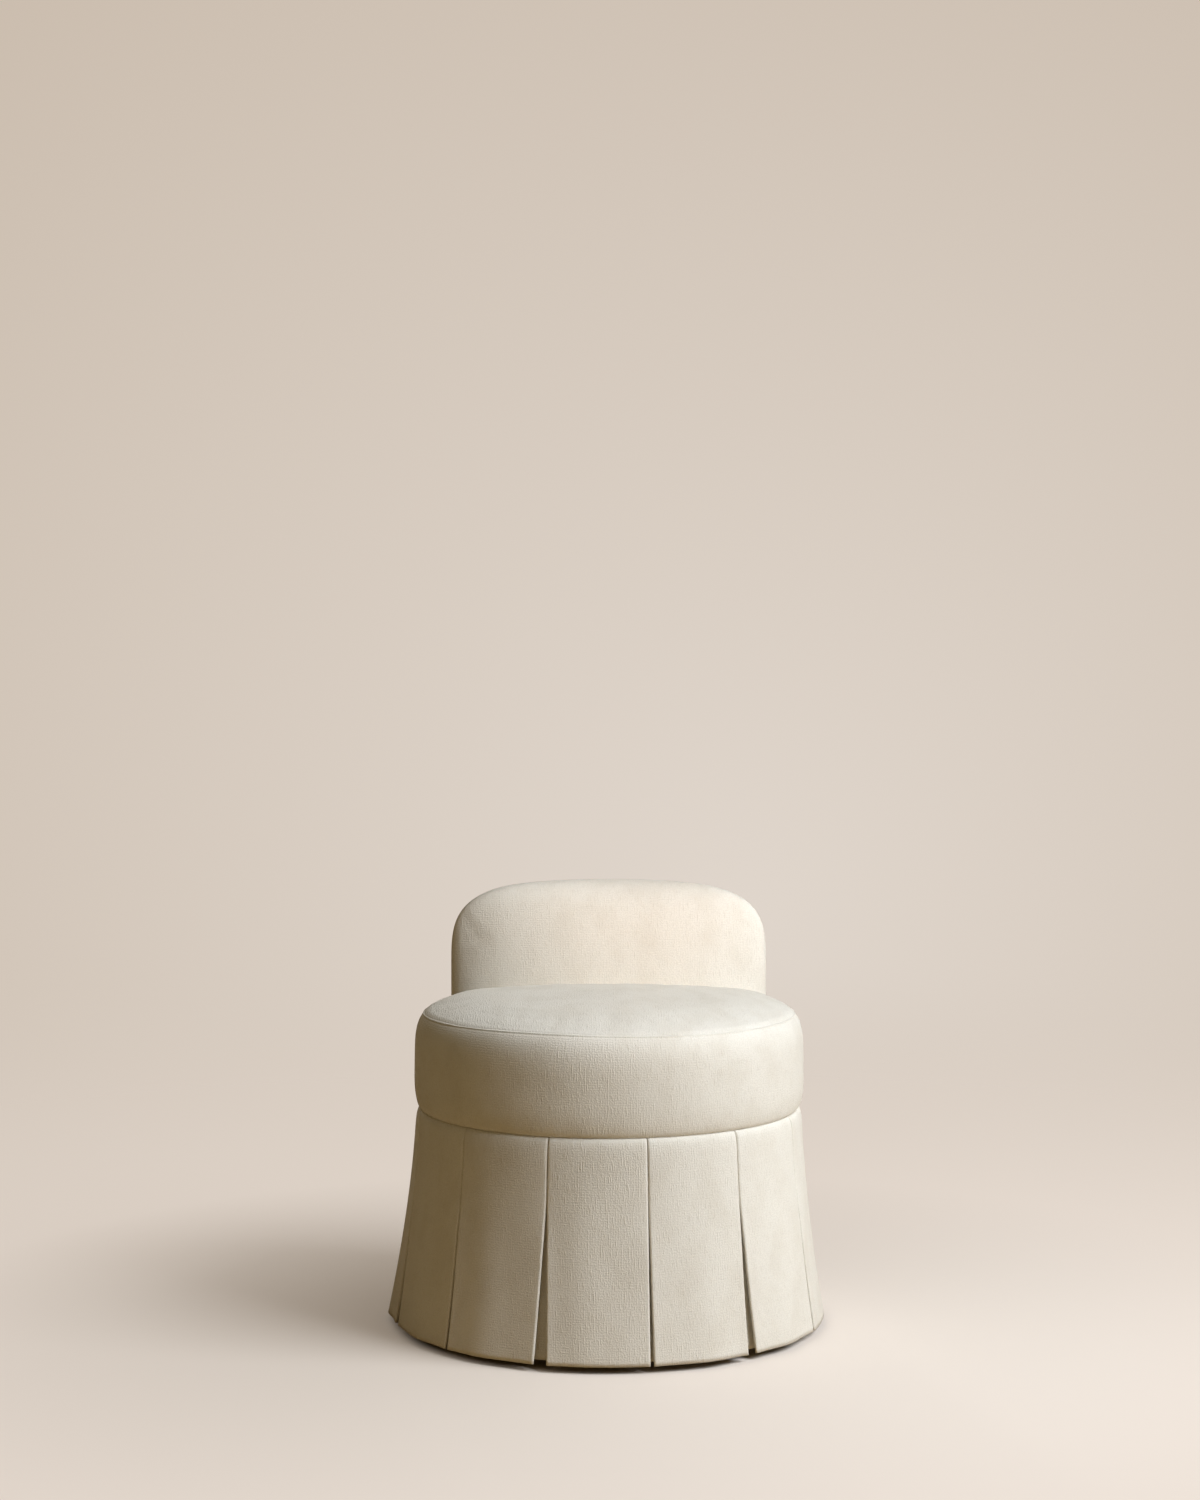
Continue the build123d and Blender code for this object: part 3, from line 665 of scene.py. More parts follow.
def seat_outline():
    """Outline of the cushion from its tucked foot over its belly to the middle of its top.

    Gives the length along the outline, the radius and the height at many places.
    """
    seat = bpy.context.scene.stool_seat
    low = np.linspace(0, 1, 400)
    climb = seat.belly_height * low
    low_radius = seat.belly_radius - seat.belly * (1 - low) ** 3
    low_radius = low_radius - seat.tuck * np.exp(-climb / SEAT_TUCK_FADE)
    turn = np.linspace(0, math.pi / 2, 6001)[1:]
    out = np.clip(np.cos(turn), 0, 1) ** (2 / seat.crown_power)
    high_radius = seat.belly_radius * out
    high_radius[-1] = 0.0
    widest = SEAT_FOOT + seat.belly_height
    rise = CROWN - seat.crown_dome - widest
    high = widest + rise * np.sin(turn) ** (2 / seat.shoulder_power)
    high = high + seat.crown_dome * (1 - (high_radius / seat.belly_radius) ** 2)
    radius = np.concatenate([low_radius, high_radius])
    height = np.concatenate([SEAT_FOOT + climb, high])
    length = np.append(0, np.cumsum(np.hypot(np.diff(radius), np.diff(height))))
    return length, radius, height


def seam_profile(along):
    """How far the cloth stands out at the top seam: a fine ridge between two shallow grooves."""
    seat = bpy.context.scene.stool_seat
    ridge = hump(along, SEAM_WIDTH)
    lower = hump(along + GROOVE_PLACE, GROOVE_WIDTH)
    upper = hump(along - GROOVE_PLACE, GROOVE_WIDTH)
    return seat.seam_lip * ridge - seat.seam_depth * (lower + UPPER_GROOVE * upper)


def seat_angles():
    """Angles once round the seat, closer together at the two corners by the back."""
    corner = math.radians(33.0)
    start = math.pi - corner
    steps = [np.linspace(start, 2 * math.pi + corner, 300, endpoint=False)]
    steps.append(np.linspace(corner, start, 90, endpoint=False))
    near = np.radians(np.linspace(-3, 3, 25))
    steps += [start + near, corner + near]
    angles = np.sort(start + np.mod(np.concatenate(steps) - start + 1e-9, 2 * math.pi))
    return angles[np.append(True, np.diff(angles) > math.radians(0.1))]


def seat_points():
    """Grid over the seat cushion from the middle of its foot, up the side band and over its top."""
    angles = seat_angles()
    reach = back_reach(angles)
    length, radius, height = seat_outline()
    seam = float(np.interp(TOP_SEAM, height, length))
    seam_radius = float(np.interp(seam, length, radius))
    free = shelf(0.0, SEAM_CLEAR_OF_BACK, reach - seam_radius)
    edge_radius = soft_least(np.full_like(reach, seam_radius), reach, CORNER_SOFTNESS)
    edge = crown_height(edge_radius * np.cos(angles), edge_radius * np.sin(angles))
    rings = []
    kinds = []
    first, roll_end, side_start = 0.0004, 0.010, 0.013
    foot = soft_least(np.full_like(reach, radius[0]), reach, CORNER_SOFTNESS)
    for share in (0.02, 0.4, 0.8, 0.97):
        rings.append((foot * share, np.full_like(reach, SEAT_FOOT + first)))
        kinds.append("foot")
    # Places along the outline: the roll at the lower seam, the side band, the top seam and the top
    roll = np.linspace(first, roll_end, 14)
    beside = np.linspace(-SEAM_REACH, SEAM_REACH, 31)
    side = np.linspace(side_start, seam + beside[0] - 0.002, 46)
    inward = np.linspace(0, 1, 70)[1:-1] ** 1.25
    over = seam + beside[-1] + (length[-1] - seam - beside[-1]) * inward
    ride = SEAM_RIDE * hump(angles - SEAM_RIDE_ANGLE, SEAM_RIDE_SPREAD)
    step = 0.0002
    for place in np.concatenate([roll, side, seam + beside, over]):
        along = place + ride * (1 - shelf(*SEAM_RIDE_FADE, abs(place - seam)))
        ahead, behind = along + step, along - step
        run = (np.interp(ahead, length, radius) - np.interp(behind, length, radius)) / (2 * step)
        rise = (np.interp(ahead, length, height) - np.interp(behind, length, height)) / (2 * step)
        stand = float(seam_profile(place - seam))
        nominal = np.interp(along, length, radius)
        level = np.interp(along, length, height)
        if place <= seam:
            ring = soft_least(nominal, reach, CORNER_SOFTNESS)
            lifted = SEAT_FOOT + (edge - SEAT_FOOT) * (level - SEAT_FOOT) / (TOP_SEAM - SEAT_FOOT)
            kinds.append("band")
        else:
            ring = edge_radius * nominal / seam_radius
            lifted = crown_height(ring * np.cos(angles), ring * np.sin(angles))
            kinds.append("top")
        rings.append((ring + stand * rise * free, lifted - stand * run * free))
    points = np.array([round_places(ring, angles, level) for ring, level in rings])
    return points, angles, kinds


def seat_flat(points, angles, kinds):
    """Flat place of the seat's cloth: round and up on the side band, straight across on the top."""
    rows, columns = points.shape[:2]
    flat = np.zeros((rows, columns + 1, 2))
    turn = np.append(angles, angles[0] + 2 * math.pi)
    closed = np.concatenate([points, points[:, :1]], axis=1)
    front = np.argmin(points[len(points) // 2, :, 1])
    climb = np.append(0, np.cumsum(np.linalg.norm(np.diff(points[:, front], axis=0), axis=1)))
    for row, kind in enumerate(kinds):
        if kind == "band":
            flat[row, :, 0] = BAND_RADIUS * turn
            flat[row, :, 1] = climb[row]
        else:
            flat[row] = closed[row, :, :2] + TOP_CUT_PLACE
    return flat


def close_poles(piece):
    """Fill the small holes at the middle of a cushion's top and foot."""
    form = bmesh.new()
    form.from_mesh(piece.data)
    bmesh.ops.holes_fill(form, edges=[edge for edge in form.edges if edge.is_boundary], sides=0)
    bmesh.ops.recalc_face_normals(form, faces=form.faces)
    for face in form.faces:
        face.smooth = True
    form.to_mesh(piece.data)
    form.free()


def mesh_points(mesh):
    """Places of a mesh's points."""
    points = np.empty(len(mesh.vertices) * 3, dtype=np.float32)
    mesh.vertices.foreach_get("co", points)
    return points.reshape(-1, 3).astype(float)


def swell(piece, held, cap):
    """Swell a padded piece by simulated cloth pressure between the places where it is held.

    The simulation runs on an evenly meshed copy. Its movement, up to a cap, is then given to the
    finer piece, which keeps its seams and its flat cloth map.
    """
    scene = bpy.context.scene
    voxel = scene.stool_cloth.voxel
    copy = piece.copy()
    copy.data = piece.data.copy()
    scene.collection.objects.link(copy)
    remesh = copy.modifiers.new("Even mesh", "REMESH")
    remesh.mode = "VOXEL"
    remesh.voxel_size = voxel
    even = applied_mesh(copy)
    copy.modifiers.clear()
    copy.data = even
    start = mesh_points(even)
    group = copy.vertex_groups.new(name="held")
    for number, weight in enumerate(held(start)):
        group.add([number], float(weight), "REPLACE")
    cloth = copy.modifiers.new("Pressure", "CLOTH")
    cloth.settings.quality = 5
    cloth.settings.use_pressure = True
    cloth.settings.uniform_pressure_force = scene.stool_cloth.pressure
    cloth.settings.vertex_group_mass = "held"
    cloth.settings.effector_weights.gravity = 0.0
    cloth.point_cache.frame_start = 1
    cloth.point_cache.frame_end = SWELL_FRAMES
    for step in range(1, SWELL_FRAMES + 1):
        scene.frame_set(step)
    moved = mesh_points(copy.evaluated_get(bpy.context.evaluated_depsgraph_get()).data)
    shift = moved - start
    length = np.linalg.norm(shift, axis=1, keepdims=True)
    shift *= np.minimum(1.0, cap / np.maximum(length, 1e-9))
    tree = kdtree.KDTree(len(start))
    for number, point in enumerate(start):
        tree.insert(point, number)
    tree.balance()
    points = mesh_points(piece.data)
    for number, point in enumerate(points):
        near = tree.find_n(point, 8)
        weights = np.array([1.0 / (distance**2 + voxel**2) for _, _, distance in near])
        points[number] += weights @ shift[[index for _, index, _ in near]] / weights.sum()
    piece.data.vertices.foreach_set("co", points.astype(np.float32).ravel())
    piece.data.update()
    bpy.data.objects.remove(copy)
    scene.frame_set(1)


def seat_held(points):
    """How firmly each place of the seat is held: at its two seams, and where it meets the back."""
    x, y, z = points.T
    _, radius, height = seat_outline()
    seam_radius = float(np.interp(TOP_SEAM, height, radius))
    seam = np.hypot(np.hypot(x, y) - seam_radius, z - TOP_SEAM)
    at_seam = 1 - shelf(HELD_WITHIN, FREE_OF_SEAM, seam)
    at_foot = 1 - shelf(HELD_WITHIN, FREE_OF_SEAM, z - SEAT_FOOT)
    at_back = 1 - shelf(HELD_WITHIN, FREE_OF_BACK, back_faces(x)[0] - y)
    return np.maximum(np.maximum(at_seam, at_foot), at_back)


def back_held(points):
    """How firmly each place of the back is held: at its foot and round its ends."""
    x, _, z = points.T
    back = bpy.context.scene.stool_back
    at_foot = 1 - shelf(BACK_HELD_TO, BACK_FREE_FROM, z - SEAT_FOOT)
    at_end = 1 - shelf(HELD_WITHIN, FREE_OF_BACK, back.half_width - np.abs(x))
    return np.maximum(at_foot, at_end)


class STOOL_OT_seat_cushion(bpy.types.Operator):
    """Make the boxed seat cushion with its crown and its sewn seam"""

    bl_idname = "stool.seat_cushion"
    bl_label = "Seat Cushion"

    def execute(self, context):
        points, angles, kinds = seat_points()
        flat = seat_flat(points, angles, kinds)
        slow = drift(points, WAVE_SIZES[0], 1)
        small = drift(points, WAVE_SIZES[1], 2)
        out = round_places(1.0, angles, np.zeros_like(angles))
        for row, kind in enumerate(kinds):
            if kind == "band":
                points[row] += out * (BAND_WAVES[0] * slow[row] + BAND_WAVES[1] * small[row])[:, None]
            elif kind == "top":
                points[row, :, 2] += TOP_WAVES[0] * slow[row] + TOP_WAVES[1] * small[row]
        piece = cloth_object("seat_cushion", points, flat, wrap=True)
        close_poles(piece)
        swell(piece, seat_held, SEAT_SWELL_CAP)
        dress(piece, linen_material())
        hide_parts("seat_foam", "seat_wadding", "seat_top_cover", "seat_boxing")
        return {"FINISHED"}


def back_section(front, rear, top):
    """Closed outline of the back at one place across it, from the front's foot over the top and round."""
    back = bpy.context.scene.stool_back
    thick = rear - front
    most = 0.48 * thick
    front_fall = min(back.front_nose, most)
    rear_fall = min(back.rear_nose, most)
    tuck = min(back.foot_tuck, 0.3 * thick)
    start = SEAT_FOOT + back.dome_start
    low = 0.5 - 0.5 * np.cos(np.linspace(0, math.pi, 24))
    roll = tuck * (1 - low) ** 10
    climb = 0.5 - 0.5 * np.cos(np.linspace(0, math.pi, 46))
    rise = SEAT_FOOT + low * (start - SEAT_FOOT)
    upper = start + climb * (top - start)
    outline = list(zip(front + roll, rise))[:-1]
    outline += list(zip(front + front_fall * dome(climb, back.front_power), upper))
    flat_top = np.linspace(front + front_fall, rear - rear_fall, 8)[1:-1]
    outline += [(place, top) for place in flat_top]
    outline += list(zip(rear - rear_fall * dome(climb, back.rear_power), upper))[::-1]
    outline += list(zip(rear - roll, rise))[::-1][1:]
    foot = np.linspace(rear - tuck, front + tuck, 8)[1:-1]
    outline += [(place, SEAT_FOOT) for place in foot]
    return np.array(outline)


class STOOL_OT_back_pad(bpy.types.Operator):
    """Make the half-moon back pad"""

    bl_idname = "stool.back_pad"
    bl_label = "Back Pad"

    def execute(self, context):
        back = context.scene.stool_back
        turns = np.linspace(-math.pi / 2, math.pi / 2, 131)
        across = back.half_width * np.sign(turns) * np.abs(np.sin(turns)) ** (2 / back.shoulder_power)
        middle_fill = np.linspace(-0.40, 0.40, 31) * back.half_width
        across = np.unique(np.round(np.concatenate([across, middle_fill]), 5))
        front, rear = back_faces(across)
        share = np.clip(np.abs(across) / back.half_width, 0, 1)
        top = BACK_TOP - back.shoulder_drop * dome(share, back.shoulder_power)
        full = rounded(share, BACK_END_POWER)
        rows = []
        flat = []
        for x, low, high, upper in zip(across, front, rear, top):
            outline = back_section(low, high, upper)
            rows.append(np.column_stack([np.full(len(outline), x), outline]))
            closed = np.vstack([outline, outline[:1]])
            length = np.append(0, np.cumsum(np.linalg.norm(np.diff(closed, axis=0), axis=1)))
            flat.append(np.column_stack([np.full(len(length), x), length]))
        points = np.array(rows)
        slow = drift(points, BACK_WAVE_SIZE, 4)[..., None] * np.array(BACK_WAVES)
        points += slow * full[:, None, None]
        piece = cloth_object("back_pad", points, np.array(flat), wrap=True, weld=0.00002)
        swell(piece, back_held, BACK_SWELL_CAP)
        dress(piece, linen_material())
        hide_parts("back_foam", "back_cover")
        return {"FINISHED"}


def skirt_radius(depth):
    """Outer radius of the skirt at a depth under the seat seam."""
    skirt = bpy.context.scene.stool_skirt
    swelling = skirt.swell * (1 - np.exp(-depth / SKIRT_SWELL_FADE))
    tuck = skirt.tuck * np.exp(-depth / SKIRT_TUCK_FADE)
    return skirt.top_radius + swelling - tuck + skirt.flare * (depth / (SEAT_FOOT - HEM)) ** 1.5


def pleat_place(number):
    """Angle of a pleat round the stool, the pleats drawn a little closer together at the front."""
    skirt = bpy.context.scene.stool_skirt
    even = skirt.first_pleat + number * 2 * math.pi / PLEATS
    return even - skirt.crowding * math.sin(even - skirt.crowding_middle) - math.pi / 2


def pleat_gap(depth, hem_gap):
    """Width of a pleat's opening, sewn shut at first and then opening to the hem."""
    skirt = bpy.context.scene.stool_skirt
    drop = SEAT_FOOT - HEM
    opened = np.clip((depth - skirt.stitch_depth) / (drop - skirt.stitch_depth), 0, 1)
    return SEWN_GAP + (hem_gap - SEWN_GAP) * opened


def skirt_depths(drop, count):
    """Depths down the skirt, closer together at the swell under the seam."""
    return drop * np.linspace(0, 1, count) ** 1.25


def panel_section(depth, span, left_gap, right_gap):
    """Section of one folded panel, which spans an angle, at a depth.

    Gives the skirt's radius there and, along the cloth, its place along and out of the skirt's line,
    the length of cloth so far and the distances from the panel's left and right edges.
    """
    skirt = bpy.context.scene.stool_skirt
    radius = float(skirt_radius(depth))
    pitch = span * radius
    left = -pitch / 2 + float(pleat_gap(depth, left_gap)) / 2
    right = pitch / 2 - float(pleat_gap(depth, right_gap)) / 2
    bend = (skirt.fold_depth - skirt.cloth) / 2
    turn_in = bend + skirt.cloth / 2
    face = -skirt.cloth / 2
    behind = face - 2 * bend
    left_turn = np.linspace(-math.pi / 2, -3 * math.pi / 2, FOLD_STEPS)[1:-1]
    right_turn = np.linspace(math.pi / 2, -math.pi / 2, FOLD_STEPS)[1:-1]
    along = np.concatenate([
        np.linspace(left + skirt.pleat_return, left + turn_in, FOLD_STEPS),
        left + turn_in + bend * np.cos(left_turn),
        np.linspace(left + turn_in, right - turn_in, FACE_STEPS),
        right - turn_in + bend * np.cos(right_turn),
        np.linspace(right - turn_in, right - skirt.pleat_return, FOLD_STEPS),
    ])
    out = np.concatenate([
        np.full(FOLD_STEPS, behind),
        face - bend + bend * np.sin(left_turn),
        np.full(FACE_STEPS, face),
        face - bend + bend * np.sin(right_turn),
        np.full(FOLD_STEPS, behind),
    ])
    length = np.append(0, np.cumsum(np.hypot(np.diff(along), np.diff(out))))
    return radius, along, out, length, np.maximum(along - left, 0), np.maximum(right - along, 0)


def panel_ripple(dice):
    """Slow swings of one panel: phases and strengths drawn once."""
    return [(dice.uniform(0, 2 * math.pi), dice.uniform(0.4, 1.0), waves) for waves in (0.6, 1.1, 1.9)]


class STOOL_OT_skirt_panels(bpy.types.Operator):
    """Make the skirt's panels, whose two edges are folded back as pleats"""

    bl_idname = "stool.skirt_panels"
    bl_label = "Skirt Panels"

    def execute(self, context):
        skirt = context.scene.stool_skirt
        drop = SEAT_FOOT - HEM
        depths = skirt_depths(drop, 64)
        dice = random.Random(skirt.seed)
        for number in range(PLEATS):
            start = pleat_place(number)
            span = pleat_place(number + 1) - start
            middle = start + span / 2
            swings = panel_ripple(dice)
            rows = []
            flat = []
            for depth in depths:
                radius, along, out, length, from_left, from_right = panel_section(
                    depth, span, HEM_GAPS[number], HEM_GAPS[(number + 1) % PLEATS])
                width = from_left[0] + from_right[0]
                fallen = depth / drop
                turns = 2 * math.pi * along / width
                swing = sum(
                    strength * math.sin(phase + fallen * 1.5) * np.cos(waves * turns + phase)
                    for phase, strength, waves in swings)
                stray = skirt.ripple * fallen**1.6 * swing / 1.6
                near_edge = np.exp(-np.minimum(from_left, from_right) / EDGE_LIFT_FADE)
                loose = shelf(*EDGE_LIFT_DEPTHS, depth - skirt.stitch_depth)
                lift = EDGE_LIFT * loose * near_edge
                if number == FULL_PANEL:
                    lift = lift + BULGE * fallen**1.5 * hump(from_right - BULGE_FROM_EDGE, BULGE_SPREAD)
                height = np.full_like(along, SEAT_FOOT - depth)
                rows.append(round_places(radius + out + stray + lift, middle + along / radius, height))
                cut = length - length.mean() + number * PANEL_CUT_PITCH
                flat.append(np.stack([cut, -np.full_like(length, depth)], axis=1))
            name = f"skirt_panel_cloth_{number + 1:02d}"
            piece = cloth_object(name, np.array(rows), np.array(flat))
            thicken(piece, skirt.cloth)
            dress(piece, linen_material())
            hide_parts(f"skirt_panel_{number + 1:02d}")
        return {"FINISHED"}


class STOOL_OT_pleat_underlays(bpy.types.Operator):
    """Make the strips that show inside the open pleats"""

    bl_idname = "stool.pleat_underlays"
    bl_label = "Pleat Underlays"

    def execute(self, context):
        skirt = context.scene.stool_skirt
        drop = SEAT_FOOT - UNDERLAY_HEM
        depths = skirt_depths(drop, 48)
        along = np.linspace(-skirt.underlay_width / 2, skirt.underlay_width / 2, 25)
        for number in range(PLEATS):
            middle = pleat_place(number)
            rows = []
            flat = []
            for depth in depths:
                recess = UNDERLAY_CLEARANCE + UNDERLAY_RECESS * (depth / (SEAT_FOOT - HEM)) ** 1.5
                radius = float(skirt_radius(depth)) - skirt.fold_depth - recess
                height = np.full_like(along, SEAT_FOOT - depth)
                rows.append(round_places(radius, middle + along / radius, height))
                cut = along + UNDERLAY_CUT_PLACE + number * PANEL_CUT_PITCH
                flat.append(np.stack([cut, -np.full_like(along, depth)], axis=1))
            piece = cloth_object(f"pleat_underlay_cloth_{number + 1:02d}", np.array(rows), np.array(flat))
            thicken(piece, skirt.cloth)
            dress(piece, linen_material())
            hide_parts(f"pleat_underlay_{number + 1:02d}")
        return {"FINISHED"}


def grained_wood(name, light, dark, rings, roughness):
    """Wood with long grain, pores and slow changes of colour."""
    material, shader = new_material(name, Roughness=roughness, Specular_IOR_Level=0.35)
    place = own_place(material)
    grain = stretched_noise(material, place, (12, rings, rings), (-1250, 300), 5.0, 0.6)
    pores = stretched_noise(material, place, (60, 900, 900), (-1250, 0), 2.0)
    bands = ramp(material, grain, 0.35, 0.68, (-800, 300))
    colour = blend_colour(material, bands, light, dark, (-400, 300))
    shade = tuple(c * 0.7 for c in dark)
    specks = sum_of(material, [(ramp(material, pores, 0.58, 0.75, (-800, 0)), 0.5)], (-600, 0))
    wire(material, blend_colour(material, specks, colour, shade, (-150, 300)), shader.inputs["Base Color"])
    relief(material, pores, 0.0002, shader, 0.4)
    return material


def plated_steel(name, colour, roughness):
    """Metal with fine brushing and cloudy plating."""
    material, shader = new_material(name, Metallic=1.0, Roughness=roughness)
    place = own_place(material)
    cloud = stretched_noise(material, place, (45, 45, 45), (-1250, 300), 4.0)
    brush = stretched_noise(material, place, (40, 1400, 1400), (-1250, 0), 2.0)
    dim = tuple(c * 0.78 for c in colour)
    wire(material, blend_colour(material, cloud, dim, colour, (-300, 300)), shader.inputs["Base Color"])
    relief(material, brush, 0.00008, shader, 0.5)
    return material


def pressed_board(name, light, dark):
    """Grey-brown card with short fibres."""
    material, shader = new_material(name, Roughness=0.9, Specular_IOR_Level=0.2)
    place = own_place(material)
    fibre = stretched_noise(material, place, (500, 500, 160), (-1250, 300), 3.0)
    wire(material, blend_colour(material, fibre, light, dark, (-300, 300)), shader.inputs["Base Color"])
    relief(material, fibre, 0.0002, shader, 0.5)
    return material


def moulded_nylon(name, colour):
    """Black moulded plastic with a fine grain."""
    material, shader = new_material(name, Roughness=0.45)
    place = own_place(material)
    grain = stretched_noise(material, place, (1500, 1500, 1500), (-1250, 300), 2.0)
    dim = tuple(c * 0.7 for c in colour)
    wire(material, blend_colour(material, grain, dim, colour, (-300, 300)), shader.inputs["Base Color"])
    relief(material, grain, 0.00005, shader, 0.5)
    return material


class STOOL_OT_frame_finishes(bpy.types.Operator):
    """Give the wood, card, metal and nylon parts of the frame their finishes"""

    bl_idname = "stool.frame_finishes"
    bl_label = "Frame Finishes"

    def execute(self, context):
        finishes = {
            "black_plywood": grained_wood(
                "black_stained_plywood", (0.035, 0.032, 0.030), (0.018, 0.016, 0.015), 90, 0.5),
            "plywood": grained_wood("birch_plywood", (0.70, 0.55, 0.37), (0.56, 0.41, 0.25), 60, 0.62),
            "hardwood": grained_wood("planed_hardwood", (0.60, 0.45, 0.30), (0.46, 0.32, 0.19), 110, 0.6),
            "tack_card": pressed_board("tack_card", (0.56, 0.46, 0.34), (0.44, 0.36, 0.26)),
            "zinc_steel": plated_steel("zinc_plated_steel", (0.66, 0.66, 0.64), 0.34),
            "bearing_steel": plated_steel("bearing_steel", (0.78, 0.78, 0.79), 0.12),
            "nylon": moulded_nylon("black_nylon", (0.035, 0.035, 0.036)),
        }
        for part in frame["record"]["subparts"]:
            finish = finishes.get(part["material_slot"])
            if finish is None:
                continue
            node = frame["nodes"][part["node"]]
            node.data.materials.clear()
            node.data.materials.append(finish)
        return {"FINISHED"}


def floor_material():
    """Pale floor that keeps the stool's shadow and fades into the backdrop a few metres out. Its even glow is
    held back near the stool and left out under the hem, which paints shade there.
    """
    stage = bpy.context.scene.stool_stage
    material, shader = new_material("pale_floor", Roughness=0.8, Specular_IOR_Level=0.1)
    seen = seen_rays(material, (-900, 500))
    colour = blend_colour(material, seen, stage.floor_bounce, stage.floor, (-250, 500))
    wire(material, colour, shader.inputs["Base Color"])
    glow = add_node(material, "ShaderNodeEmission", (-250, -300), Color=(*stage.floor_glow, 1.0))
    distance = add_node(material, "ShaderNodeVectorMath", (-700, 0), operation="LENGTH")
    wire(material, own_place(material), distance.inputs[0])
    away = distance.outputs["Value"]
    # Painted shade under the hem: the even glow is left out close round the stool's foot
    beside = ramp(material, away, *PAINTED_HEM_SHADE_EDGE, (-450, 250))
    # Painted shade round the stool: the glow's share is held low near the stool and grows outwards
    even = add_node(
        material, "ShaderNodeMapRange", (-450, 450), From_Min=PAINTED_SHADE_FADE_RANGE[0], From_Max=PAINTED_SHADE_FADE_RANGE[1],
        To_Min=GLOW_SHARES[0], To_Max=GLOW_SHARES[1])
    wire(material, away, even.inputs["Value"])
    share = even.outputs["Result"]
    for number, factor in enumerate((beside, seen)):
        product = add_node(material, "ShaderNodeMath", (-250 + 200 * number, 250), operation="MULTIPLY")
        wire(material, share, product.inputs[0])
        wire(material, factor, product.inputs[1])
        share = product.outputs[0]
    surface = mix_shaders(material, share, shader.outputs["BSDF"], glow.outputs["Emission"], (450, 200))
    fade = ramp(material, away, *FLOOR_FADE, (-450, 0))
    clear = add_node(material, "ShaderNodeBsdfTransparent", (250, -100))
    faded = mix_shaders(material, fade, clear.outputs["BSDF"], surface, (650, 100))
    wire(material, faded, material.node_tree.nodes["Material Output"].inputs["Surface"])
    return material


def make_world():
    """Soft light from the sides and above, with the backdrop where the camera sees past the floor. The
    backdrop is painted brighter in its middle and darker towards its edge, a painted pool of light.
    """
    stage = bpy.context.scene.stool_stage
    world = bpy.data.worlds.new("room")
    bpy.context.scene.world = world
    world.use_nodes = True
    world.node_tree.nodes.clear()
    place = add_node(world, "ShaderNodeTexCoord", (-900, 0)).outputs["Generated"]
    upward = add_node(world, "ShaderNodeSeparateXYZ", (-700, 200))
    wire(world, place, upward.inputs["Vector"])
    climb = ramp(world, upward.outputs["Z"], *CEILING_RANGE, (-500, 200))
    room = add_node(world, "ShaderNodeBackground", (-100, 200), Strength=1.0)
    wire(world, blend_colour(world, climb, stage.room, stage.ceiling, (-300, 200)), room.inputs["Color"])
    # Painted pool of light on the backdrop: bright in its middle, darker towards its edge
    away = add_node(world, "ShaderNodeVectorMath", (-700, -200), operation="DISTANCE")
    away.inputs[1].default_value = BACKDROP_PAINTED_LIGHT_MIDDLE
    wire(world, place, away.inputs[0])
    spread = add_node(world, "ShaderNodeMapRange", (-500, -200), From_Max=BACKDROP_PAINTED_LIGHT_SPREAD)
    wire(world, away.outputs["Value"], spread.inputs["Value"])
    backdrop_with_painted_light = blend_colour(world, spread.outputs["Result"], stage.backdrop, stage.backdrop_painted_falloff, (-300, -200))
    backdrop = add_node(world, "ShaderNodeBackground", (-100, -200), Strength=1.0)
    wire(world, backdrop_with_painted_light, backdrop.inputs["Color"])
    seen = seen_rays(world, (-900, 500))
    both = mix_shaders(world, seen, room.outputs["Background"], backdrop.outputs["Background"], (100, 0))
    wire(world, both, add_node(world, "ShaderNodeOutputWorld", (300, 0)).inputs["Surface"])


def add_lamp(name, kind, place, aim, power, colour):
    """Lamp that looks at a point. Gives its data, for the settings of its kind."""
    data = bpy.data.lights.new(name, kind)
    data.energy = power
    data.color = colour
    lamp = bpy.data.objects.new(name, data)
    lamp.location = place
    lamp.rotation_euler = (Vector(aim) - Vector(place)).to_track_quat("-Z", "Y").to_euler()
    bpy.context.scene.collection.objects.link(lamp)
    return data


class STOOL_OT_stage(bpy.types.Operator):
    """Make the floor, the light and the camera"""

    bl_idname = "stool.stage"
    bl_label = "Stage"

    def execute(self, context):
        stage = context.scene.stool_stage
        form = bmesh.new()
        bmesh.ops.create_circle(form, cap_ends=True, segments=96, radius=FLOOR_RADIUS)
        mesh = bpy.data.meshes.new("floor")
        form.to_mesh(mesh)
        form.free()
        floor = bpy.data.objects.new("floor", mesh)
        context.scene.collection.objects.link(floor)
        floor.data.materials.append(floor_material())
        make_world()
        key_aim = Vector(KEY_AIM)
        key_place = key_aim + Vector(KEY_DIRECTION).normalized() * stage.key_distance
        key = add_lamp("key_lamp", "AREA", key_place, key_aim, stage.key_power, KEY_COLOUR)
        key.size = stage.key_size
        for name, setting, place, aim, cone, colour in SPOT_LAMPS:
            spot = add_lamp(name, "SPOT", place, aim, getattr(stage, setting), colour)
            spot.spot_size = math.radians(cone)
            spot.spot_blend = 1.0
            spot.shadow_soft_size = SPOT_SOFTNESS
        lens = bpy.data.cameras.new("camera")
        lens.lens = stage.focal_length
        lens.sensor_width = SENSOR_WIDTH
        lens.clip_end = VIEW_END
        camera = bpy.data.objects.new("camera", lens)
        camera.location = CAMERA_PLACE
        camera.rotation_euler = (CAMERA_TILT, 0.0, 0.0)
        context.scene.collection.objects.link(camera)
        context.scene.camera = camera
        context.scene.view_settings.view_transform = "Standard"
        return {"FINISHED"}


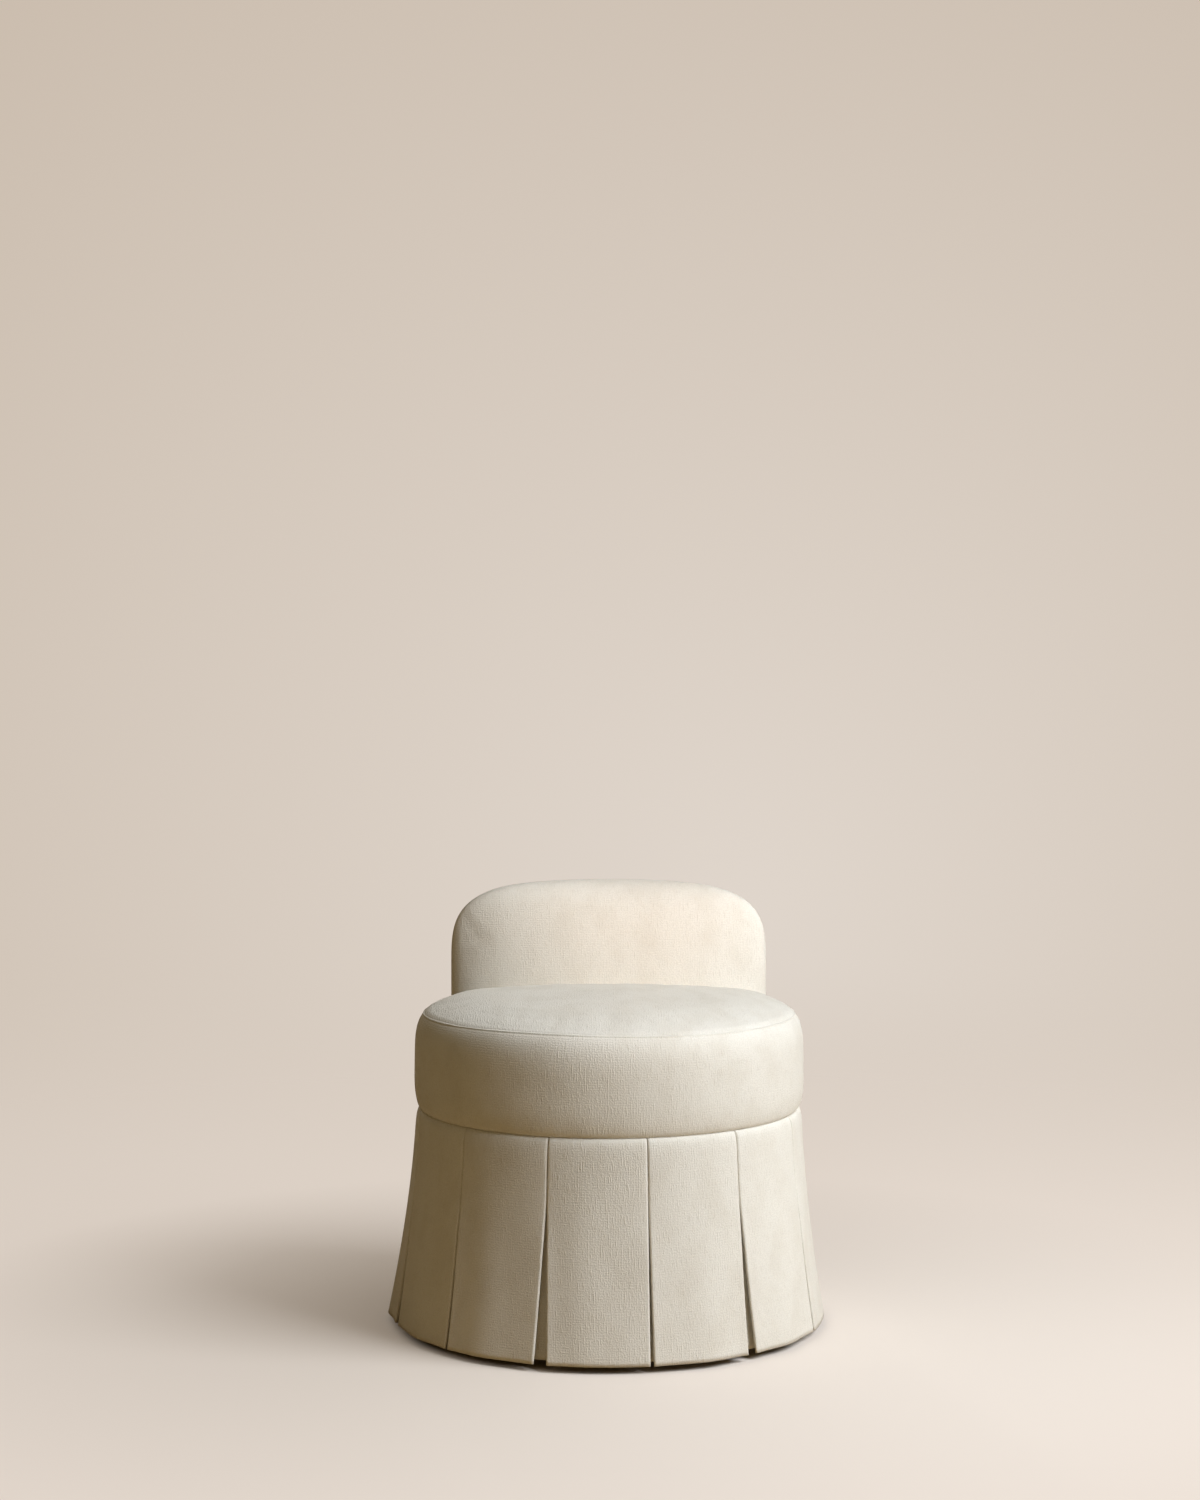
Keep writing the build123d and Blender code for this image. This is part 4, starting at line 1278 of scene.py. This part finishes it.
class STOOL_PT_panel(bpy.types.Panel):
    """Sizes and pieces of the stool"""

    bl_idname = "STOOL_PT_panel"
    bl_label = "Skirted Stool"
    bl_space_type = "VIEW_3D"
    bl_region_type = "UI"
    bl_category = "Stool"

    def draw(self, context):
        for settings in SETTINGS:
            box = self.layout.box()
            group = getattr(context.scene, settings)
            box.label(text=settings.replace("_", " ").capitalize())
            for name in group.bl_rna.properties.keys():
                if name not in ("rna_type", "name"):
                    box.prop(group, name)
        for operator in OPERATORS:
            self.layout.operator(operator.bl_idname)


SETTINGS = {
    "stool_cloth": StoolClothSettings,
    "stool_seat": StoolSeatSettings,
    "stool_back": StoolBackSettings,
    "stool_skirt": StoolSkirtSettings,
    "stool_stage": StoolStageSettings,
}
OPERATORS = (
    STOOL_OT_stage,
    STOOL_OT_seat_cushion,
    STOOL_OT_back_pad,
    STOOL_OT_skirt_panels,
    STOOL_OT_pleat_underlays,
    STOOL_OT_frame_finishes,
)


def register():
    """Register the settings, the operators and the panel."""
    for name, settings in SETTINGS.items():
        bpy.utils.register_class(settings)
        setattr(bpy.types.Scene, name, PointerProperty(type=settings))
    for operator in OPERATORS:
        bpy.utils.register_class(operator)
    bpy.utils.register_class(STOOL_PT_panel)


def unregister():
    """Undo register."""
    bpy.utils.unregister_class(STOOL_PT_panel)
    for operator in reversed(OPERATORS):
        bpy.utils.unregister_class(operator)
    for name, settings in reversed(SETTINGS.items()):
        delattr(bpy.types.Scene, name)
        bpy.utils.unregister_class(settings)


def clear_scene():
    """Remove the start-up scene's own cube, lamp and camera."""
    kept = set(frame["nodes"].values()) | set(frame["bodies"].values())
    for thing in list(bpy.data.objects):
        if thing not in kept:
            bpy.data.objects.remove(thing)


def main():
    clear_scene()
    register()
    bpy.ops.stool.stage()
    bpy.ops.stool.seat_cushion()
    bpy.ops.stool.back_pad()
    bpy.ops.stool.skirt_panels()
    bpy.ops.stool.pleat_underlays()
    bpy.ops.stool.frame_finishes()


if __name__ == "__main__":
    main()
